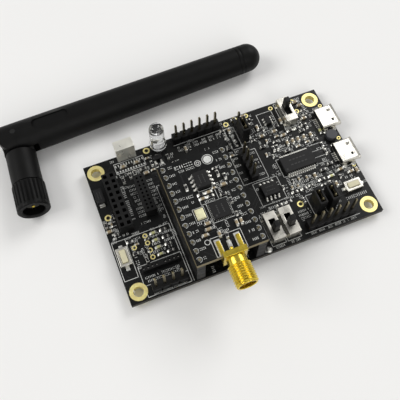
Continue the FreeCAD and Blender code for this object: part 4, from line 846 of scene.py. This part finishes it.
def place_switches():
    dressed("switch_housings", MAIN, "port_steel", [PORT], soften=0.09)
    for side in ("left", "right", "power"):
        dressed(f"switch_knob_{side}", f"knob_{side}", "black_nylon", [NYLON], soften=0.16)
    feet = Form(PORT, SOLDER)
    for lo, hi in solids("switch_housings"):
        for y in (lo.y + 0.9, hi.y - 0.9):
            for x in (lo.x - 0.225, hi.x + 0.225):
                feet.slab(x, y, 0.225, 0.35, lo.z, lo.z + 0.25)
        centre = middle((lo, hi))
        for y in (centre.y - 2.5, centre.y, centre.y + 2.5):
            feet.turned(centre.x, y, [(0.8, UNDER), (0.8, UNDER - 0.05), (0.4, UNDER - 0.5),
                                      (0.3, UNDER - 1.0)], sides=16, finish=1)
    feet.piece("switch_feet", MAIN, "port_steel", soften=0.04)


def place_buttons():
    dressed("button_frames", MAIN, "port_steel", [PORT], soften=0.13)
    for place in ("side", "corner"):
        dressed(f"{place}_button_plunger", f"{place}_plunger", "cream_plunger", [CREAM], soften=0.15)
    legs = Form(SOLDER)
    for lo, hi in solids("button_frames"):
        centre = middle((lo, hi))
        if hi.y - lo.y > hi.x - lo.x:
            spots = [(centre.x, y, 0.55, 0.625) for y in (lo.y - 0.525, hi.y + 0.525)]
        else:
            spots = [(x, centre.y, 0.5, 0.5) for x in (lo.x - 0.4, hi.x + 0.4)]
        for spot in spots:
            legs.slab(*spot, TOP - SUNK, TOP + 0.28)
    legs.piece("button_legs", MAIN, "tinned_pin", soften=0.1)


# ---- lamp and receiver

def place_lamp():
    """Clear lamp with its cup and post inside."""
    lo, hi = node_box("clear_lamp")
    x, y, _ = middle((lo, hi))
    rim = (hi.x - lo.x) / 2
    radius = rim - 0.4
    dome_z = hi.z - radius
    profile = [(rim - 0.15, lo.z), (rim, lo.z + 0.15), (rim, lo.z + 0.85), (rim - 0.15, lo.z + 1.0),
               (radius + 0.02, lo.z + 1.0), (radius, lo.z + 1.3)]
    profile += [(radius * cos(radians(step)), dome_z + radius * sin(radians(step)))
                for step in range(0, 90, 9)]
    profile.append((radius * 0.05, hi.z))
    form = Form(CLEAR)
    form.turned(x, y, profile, sides=48)
    form.stand_in("clear_lamp", MAIN, "clear_epoxy", angle=40)
    leads = sorted((box for box in solids("lamp_and_receiver_leads") if abs(middle(box).x - x) < 2),
                   key=lambda box: box[0].x)
    (left_lo, left_hi), (right_lo, right_hi) = leads
    cup = left_hi.z
    cup_x = x - 0.35
    inside = Form(PIN_TIN)
    inside.box((left_lo.x - 0.1, left_lo.y - 0.05, cup - 1.2), (left_hi.x + 0.85, left_hi.y + 0.05, cup))
    inside.turned(cup_x, y, [(0.45, cup - 0.1), (0.62, cup + 0.6), (0.48, cup + 0.6), (0.3, cup + 0.15)],
                  sides=20)
    inside.box((right_lo.x - 0.35, right_lo.y - 0.05, cup - 0.9),
               (right_hi.x + 0.1, right_hi.y + 0.05, cup + 0.35))
    inside.strip((cup_x, y), (right_lo.x - 0.1, y), 0.05, cup + 0.3, cup + 0.35)
    inside.piece("lamp_cup_and_post", MAIN, "tinned_pin", soften=0.04)
    paint("lamp_and_receiver_leads", PIN_TIN)


def place_receiver():
    dressed("infrared_shield", MAIN, "tinned_sheet", [SHEET], soften=0.07)
    dressed("infrared_receiver", MAIN, "dark_epoxy", [INFRARED], soften=0.1)


# ---- coaxial jack

THREAD_PITCH = 0.7056
THREAD_DEPTH = 0.36
THREAD_RADIUS = 3.175
FLANGE_LENGTH = 1.6
NECK_LENGTH = 2.1
NECK_RADIUS = 2.7
MOUTH_RADIUS = 2.3
MOUTH_DEPTH = 5.4
BORE_RADIUS = 2.05
JACK_SIDES = 80


def place_jack():
    """Gold jack: square flange with legs, neck, cut thread and open mouth."""
    lo, hi = node_box("antenna_jack")
    x = middle((lo, hi)).x
    axis_z = middle(node_box("jack_insulator")).z
    half = (hi.x - lo.x) / 2
    back = MODULE_LO.y
    front = back - FLANGE_LENGTH
    neck_end = front - NECK_LENGTH
    mouth = lo.y

    def section(y, radius_at):
        """Ring of points about the jack's axis; radius_at gives the radius at an angle."""
        angles = [2 * pi * k / JACK_SIDES for k in range(JACK_SIDES)]
        return [(x + radius_at(a) * cos(a), y, axis_z + radius_at(a) * sin(a)) for a in angles]

    def circle(y, radius):
        return section(y, lambda a: radius)

    def square(y, reach):
        return section(y, lambda a: reach / max(abs(cos(a)), abs(sin(a))))

    def thread(y):
        turn = 2 * pi * (neck_end - y) / THREAD_PITCH
        crest = THREAD_RADIUS - 0.42 * (1 - min(1.0, (y - mouth) / 0.45))
        return section(y, lambda a: min(crest, THREAD_RADIUS - THREAD_DEPTH * (1 + cos(turn + a)) / 2))

    rings = [circle(back, BORE_RADIUS), square(back, half - 0.08), square(back - 0.08, half),
             square(front + 0.08, half), square(front, half - 0.08), circle(front, NECK_RADIUS),
             circle(neck_end, NECK_RADIUS)]
    rows = ceil((neck_end - mouth) / (THREAD_PITCH / 14))
    rings += [thread(neck_end + (mouth - neck_end) * row / rows) for row in range(rows + 1)]
    rings += [circle(mouth, MOUTH_RADIUS + 0.18), circle(mouth + 0.18, MOUTH_RADIUS),
              circle(mouth + MOUTH_DEPTH, MOUTH_RADIUS), circle(mouth + MOUTH_DEPTH, BORE_RADIUS)]
    form = Form(JACK_GOLD)
    form.wrap(rings, ends=False)
    form.stand_in("antenna_jack", MODULE, "jack_gold", angle=55)
    legs = Form(JACK_GOLD)
    solder = Form(SOLDER)
    leg = 1.05
    for leg_x in (x - half + leg / 2, x + half - leg / 2):
        for low in (DECK, MODULE_LO.z - leg):
            legs.taper(leg_x, back - 0.3, hi.y, leg / 2, leg / 2, low, low + leg)
        solder.taper(leg_x, back + 0.15, hi.y + 0.8, 0.85, 0.85, DECK - SUNK, DECK + 0.08)
        solder.taper(leg_x, back + 0.3, hi.y + 0.35, 0.75, 0.72, DECK, DECK + 0.34)
    legs.piece("jack_legs", MODULE, "jack_gold", soften=0.12)
    _, tip = node_box("jack_contact")
    solder.taper(x, back + 0.3, tip.y + 0.5, 0.55, 0.5, DECK - SUNK, DECK + 0.2)
    solder.prism([(x - 0.42, back + 1.5), (x + 0.42, back + 1.5), (x + 0.46, tip.y - 0.4),
                  (x + 0.24, tip.y + 0.3), (x - 0.24, tip.y + 0.3), (x - 0.46, tip.y - 0.4)],
                 DECK, tip.z + 0.12)
    solder.piece("jack_solder", MODULE, "tinned_pin", soften=0.16)
    paint("jack_contact", JACK_GOLD)
    dressed("jack_insulator", MODULE, "white_insulator", [FLUOROPOLYMER], soften=0.05)


# ---- antenna

def place_antenna():
    dressed("antenna_whip", "antenna_arm", "antenna_plastic", [ANTENNA], soften=0.04, angle=30)
    dressed("antenna_base", "antenna_foot", "antenna_plastic", [ANTENNA], soften=0.12, angle=30)
    dressed("antenna_nut", "antenna_ring", "antenna_plastic", [ANTENNA], angle=30)
    paint("elbow_pin", PIN_STEEL)
    for node in ("antenna_ferrule", "plug_contact", "antenna_radiator"):
        paint(node, JACK_GOLD)
    # painted shade: the insulator inside the plug is coloured dark grey for its shade, not its own white
    paint("plug_insulator", PLUG_INSULATOR_PAINTED_SHADE)


def paint(node, material):
    """Give a node that keeps its own shape a better material."""
    slots = frame["nodes"][node].data.materials
    for place in range(len(slots)):
        slots[place] = material


# ---- gold rings

PAD_ROW_PITCH = 1.25         # of the pads and marks at the left edge


def place_gold():
    """Mounting rings, test rings and bare pads."""
    dressed("mounting_hole_rings", MAIN, "plated_gold", [GOLD_PAD], soften=0.02)
    rings = Form(GOLD_PAD, BOARD_EDGE)
    for x, y, radius in ((-36.7, 4.4, 1.0), (-32.6, -7.1, 0.75), (17.1, -12.2, 1.0), (7.3, 21.0, 0.85),
                         (10.4, 21.6, 0.95), (14.3, 21.7, 0.8), (22.7, 21.3, 0.7), (30.1, 21.2, 0.75),
                         (30.0, 17.3, 0.75), (37.7, 16.4, 0.6), (37.8, 3.7, 0.6), (37.8, -6.4, 0.6),
                         (-28.6, -4.8, 0.75), (-28.6, -7.1, 0.75), (-28.6, -9.4, 0.75),
                         (-28.6, -11.6, 0.75), (-18.95, 21.4, 1.05)):
        hole = radius * 0.55
        rings.ring(x, y, hole, radius, TOP - SUNK, TOP + 0.03)
        rings.turned(x, y, [(radius * 0.56, TOP - SUNK), (radius * 0.56, TOP + 0.012)], 20, finish=1)
        rings.ring(x, y, hole, radius, UNDER - 0.03, UNDER + SUNK)
    rings.piece("test_rings", MAIN, "plated_gold", angle=20)
    pads = Form(SOLDER)
    for place in range(5):
        pads.slab(-36.8, 2.6 - place * PAD_ROW_PITCH, 0.5, 0.3, TOP - SUNK, TOP + 0.05)
    for x in (-17.7, -15.8):
        pads.slab(x, 15.65, 0.4, 0.35, TOP - SUNK, TOP + 0.06)
    pads.turned(2.7, -21.7, [(1.0, TOP), (0.98, TOP + 0.1), (0.7, TOP + 0.4), (0.25, TOP + 0.55)])
    pads.piece("bare_pads", MAIN, "tinned_pin", soften=0.03)


# ---- printing

HEADER_PITCH = 2.54
FINE_PITCH = 1.27


def print_left_end(ink):
    """Marks round the display socket, the front header and the side button."""
    for place in range(9):
        y = 11.6 - place * FINE_PITCH
        ink.labels((-27.15, y, 2.3), (-21.7, y, 2.3))
    for place in range(11):
        x = -29.4 + place * 0.84
        ink.line((x, 17.2), (x, 17.75), 0.4)
        ink.line((x, 19.1), (x, 19.9), 0.3)
    for place in range(5):
        y = 2.6 - place * PAD_ROW_PITCH
        ink.line((-35.9, y), (-35.1, y), 0.14)
    ink.path([(-38.3, -3.55), (-20.9, -3.55), (-20.9, -12.4)])
    ink.path([(-38.3, -3.55), (-38.3, -15.6), (-34.3, -15.6), (-34.3, -3.55)])
    ink.frames((-29.8, 16.9, -20.6, 20.4), (-33.6, -22.2, -20.9, -12.9), width=0.16)
    ink.line((-33.6, -18.9), (-20.9, -18.9), 0.12)
    ink.labels((-29.85, 7.2, 12.5, 0.85, "y"), (-36.3, 12.4, 2.6, 0.6, "y"), (-25.2, 15.9, 6.4, 0.8),
               (-33.1, -9.4, 8.6, 0.8, "y"), (-27.2, -16.75, 11.0), (-27.2, -17.85, 10.4),
               (-27.0, -22.0, 9.8, 0.5), (-37.4, -19.0, 1.6, 0.8), (-26.0, -5.4, 4.2, 0.7))


def print_middle(ink):
    """Marks between the tall sockets and the switches."""
    for x in (-15.4, -4.9):
        ink.line((x, 9.2), (x, 13.6), 0.14)
    ink.path([(-20.2, -22.3), (-20.2, 8.9), (-16.3, 8.9)], 0.14)
    ink.path([(-2.5, 8.9), (1.6, 8.9), (1.6, -22.3)], 0.14)
    ink.line((-10.6, 19.85), (5.0, 19.85))
    for place in range(6):
        x = -9.0 + place * HEADER_PITCH
        ink.labels((x, 18.75, 1.9), (x, 17.7, 1.6))
    for place in range(4):
        y = 8.7 - place * HEADER_PITCH
        ink.labels((5.2, y, 1.6), (10.8, y, 2.0))
    ink.frames((4.1, -0.6, 12.2, 9.9), (5.9, 11.7, 9.0, 19.4), (9.05, 12.6, 11.8, 19.3),
               (6.6, -8.9, 14.4, -1.2))
    ink.ring(7.3, -3.3, 0.3, 0.14)
    ink.labels((7.45, 15.5, 6.2, 0.75, "y"), (12.8, 18.6, 1.5, 0.7), (12.8, 13.6, 1.5, 0.7),
               (10.5, -10.2, 5.4, 0.8), (-10.0, 12.8, 7.4, 0.85), (-10.0, 11.2, 5.6, 0.7))
    for x in (6.2, 11.0):
        ink.frames((x - 2.1, -21.4, x + 2.1, -11.7))
        ink.labels((x, -11.0, 2.6, 0.75), (x, -22.0, 2.6, 0.65))


def print_right_end(ink):
    """Marks round the ports, the right selectors and the corner button."""
    ink.line((14.4, -21.25), (31.9, -21.25))
    for place in range(6):
        ink.label(16.8 + place * HEADER_PITCH, -21.85, 1.9, 0.5)
    ink.labels((17.0, -14.4, 3.6), (17.0, -15.5, 3.8), (17.0, -16.6, 2.9))
    for x in (21.0, 24.9):
        ink.frames((x - 1.45, -18.0, x + 1.45, -10.4))
        ink.labels((x + 2.0, -12.6, 1.6, 0.55, "y"), (x + 2.0, -16.4, 1.6, 0.55, "y"))
    for place in range(4):
        y = 4.4 - place * 2.2
        ink.line((27.9, y), (31.4, y), 0.13)
    for y in (15.1, -6.0):
        ink.line((33.6, y), (38.4, y), 0.14)
    ink.frames((16.4, -2.6, 27.6, 3.7), (24.0, 12.6, 28.5, 22.2), (17.4, 14.1, 22.4, 20.6))
    ink.labels((22.6, -5.9, 9.8, 0.8), (22.6, -7.2, 8.6, 0.7), (22.6, -8.5, 6.4, 0.7),
               (29.6, 5.5, 3.2), (34.0, -15.7, 7.4, 0.8), (15.5, 0.6, 4.6, 0.7, "y"),
               (22.2, 6.3, 7.6, 0.7), (26.2, 12.0, 3.0, 0.7), (32.6, 17.4, 3.4, 0.8, "y"),
               (35.9, 16.0, 2.4), (35.2, -7.0, 2.4))


def print_by_parts(ink):
    """Short reference marks beside the small parts."""
    for node in ("chip_resistors", "chip_capacitors", "status_lamps"):
        for lo, hi in solids(node):
            x, y, _ = middle((lo, hi))
            if hi.x - lo.x >= hi.y - lo.y:
                ink.label(x, y + 1.35, 1.7, 0.55)
            else:
                ink.label(x + 1.3, y, 1.7, 0.55, "y")


def print_module(ink):
    """Rings round the module pins, pin names inboard, frames and a plain round badge."""
    centre = middle((MODULE_LO, MODULE_HI)).x
    for x, y, _ in pin_spots("module_pins"):
        ink.arc(x, y, 0.74, draw.uniform(-2.4, -1.6), draw.uniform(3.8, 4.8))
        ink.label(x + (1.95 if x < centre else -1.95), y, 1.6)
    for node, past_x, past_y in (("radio_chip", 0.55, 0.55), ("crystal", 0.35, 0.35),
                                 ("flash_chip", 0.1, 0.35)):
        lo, hi = node_box(node)
        ink.frame(lo.x - past_x, lo.y - past_y, hi.x + past_x, hi.y + past_y, 0.12)
    flash_lo, flash_hi = node_box("flash_chip")
    ink.frame(flash_lo.x - 0.8, flash_lo.y - 4.3, flash_hi.x + 0.4, flash_lo.y - 0.9, 0.12)
    ink.frame(centre - 4.3, -22.45, centre + 4.3, -17.0, 0.15)
    ink.labels((centre - 3.0, 5.9, 5.6, 0.95), (centre - 2.6, 4.5, 4.6, 0.6),
               (centre - 0.2, -16.2, 3.6, 0.6))
    for shift, y, radius in ((1.0, 5.2, 0.85), (1.0, 5.2, 0.4), (4.0, 5.4, 1.5), (-5.2, -17.6, 0.7)):
        ink.ring(centre + shift, y, radius)
    ink.disc(centre + 4.0, 5.4, 1.15)


class Room:
    """Rectangles of a board that are taken already."""

    def __init__(self, body, board, top):
        self.taken = []
        for node in MEMBERS[body]:
            if node == board:
                continue
            for lo, hi in solids(node):
                if lo.z < top + 3.0 and hi.z > top:
                    self.taken.append((lo.x, lo.y, hi.x, hi.y))

    def fits(self, x, y, half_x, half_y, gap=0.25):
        return all(x + half_x + gap < lo_x or x - half_x - gap > hi_x
                   or y + half_y + gap < lo_y or y - half_y - gap > hi_y
                   for lo_x, lo_y, hi_x, hi_y in self.taken)

    def take(self, x, y, half_x, half_y):
        self.taken.append((x - half_x, y - half_y, x + half_x, y + half_y))


GRID = 0.4                   # small parts stand on this grid
FOOT = 0.2                   # solder that reaches past a small part
PART_HALVES = ((0.55, 0.3), (0.3, 0.55), (0.8, 0.42), (0.42, 0.8))


def scatter(room, ink, zones, face_z):
    """Small two ended parts with reference marks beside them, in rows and columns."""
    boxes = []
    for left, front, right, rear, count in zones:
        for _ in range(count):
            x = left + round(draw.uniform(0, right - left) / GRID) * GRID
            y = front + round(draw.uniform(0, rear - front) / GRID) * GRID
            half_x, half_y = draw.choice(PART_HALVES)
            if not room.fits(x, y, half_x + FOOT, half_y + FOOT):
                continue
            room.take(x, y, half_x + FOOT, half_y + FOOT)
            boxes.append((Vector((x - half_x, y - half_y, face_z)),
                          Vector((x + half_x, y + half_y, face_z + half_x + half_y - 0.4))))
            along = draw.choice("xy")
            shift = (0, half_y + 0.75) if along == "x" else (half_x + 0.75, 0)
            ink.label(x + shift[0], y + shift[1], 1.5, 0.6, along)
    return boxes


def litter(room, ink, zones):
    """Short printed words wherever a board has space left."""
    for left, front, right, rear, count in zones:
        for _ in range(count):
            x = draw.uniform(left, right)
            y = draw.uniform(front, rear)
            length = draw.uniform(1.0, 3.4)
            along = draw.choice("xxy")
            half_x, half_y = (length / 2, 0.35) if along == "x" else (0.35, length / 2)
            if room.fits(x, y, half_x, half_y, 0.12):
                room.take(x, y, half_x, half_y)
                ink.label(x, y, length, draw.uniform(0.55, 0.75), along)


MAIN_ZONES = ((14.2, -9.5, 31.5, -3.4, 60), (14.2, 4.4, 31.5, 16.5, 110), (28.6, 12.0, 33.0, 22.0, 40),
              (4.0, 10.0, 16.0, 22.0, 60), (28.0, -12.0, 38.0, -4.0, 40), (-38.0, -3.2, -35.0, 4.0, 16),
              (-34.0, -12.0, -21.5, -4.2, 40), (-20.0, 14.0, -11.5, 20.5, 30),
              (-33.5, 12.0, -20.5, 16.5, 20), (13.5, -12.5, 20.0, -3.5, 20))
MODULE_ZONES = ((-14.6, -15.6, -4.0, 2.2, 70),)


def place_printing():
    ink = Print(TOP)
    print_left_end(ink)
    print_middle(ink)
    print_right_end(ink)
    print_by_parts(ink)
    room = Room(MAIN, "main_board", TOP)
    two_ended("minor_parts", scatter(room, ink, MAIN_ZONES, TOP), MAIN, "capacitor_ceramic",
              [CERAMIC, GLAZE, GLAZE], end=0.2)
    litter(room, ink, MAIN_ZONES)
    litter(room, ink, ((-38.0, -22.0, 38.0, 22.0, 260),))
    ink.piece("print_top", MAIN)
    ink = Print(UNDER, up=-1)
    for lo, hi in solids("six_pin_header_strips"):
        ink.frame(lo.x - 0.5, lo.y - 0.5, hi.x + 0.5, hi.y + 0.5, 0.18)
    ink.label(6.0, 3.0, 16.0, 2.0)
    ink.label(6.0, 0.0, 12.0, 1.2)
    ink.label(-28.0, -1.5, 8.0, 1.2)
    ink.piece("print_under", MAIN)
    ink = Print(DECK)
    print_module(ink)
    room = Room(MODULE, "module_board", DECK)
    two_ended("module_minor_parts", scatter(room, ink, MODULE_ZONES, DECK), MODULE,
              "capacitor_ceramic", [CERAMIC, GLAZE], end=0.2)
    litter(room, ink, MODULE_ZONES * 2)
    ink.piece("print_module", MODULE)


# ---- the whole scene

dress_board("main_board", MAIN, BOARD_EDGE)
dress_board("module_board", MODULE, MODULE_EDGE)
place_tracks()
place_printing()
place_gold()
place_pins()
place_plastics()
place_chips()
place_small_parts()
place_ports()
place_switches()
place_buttons()
place_lamp()
place_receiver()
place_jack()
place_antenna()
place_floor()
place_lights()
place_camera()
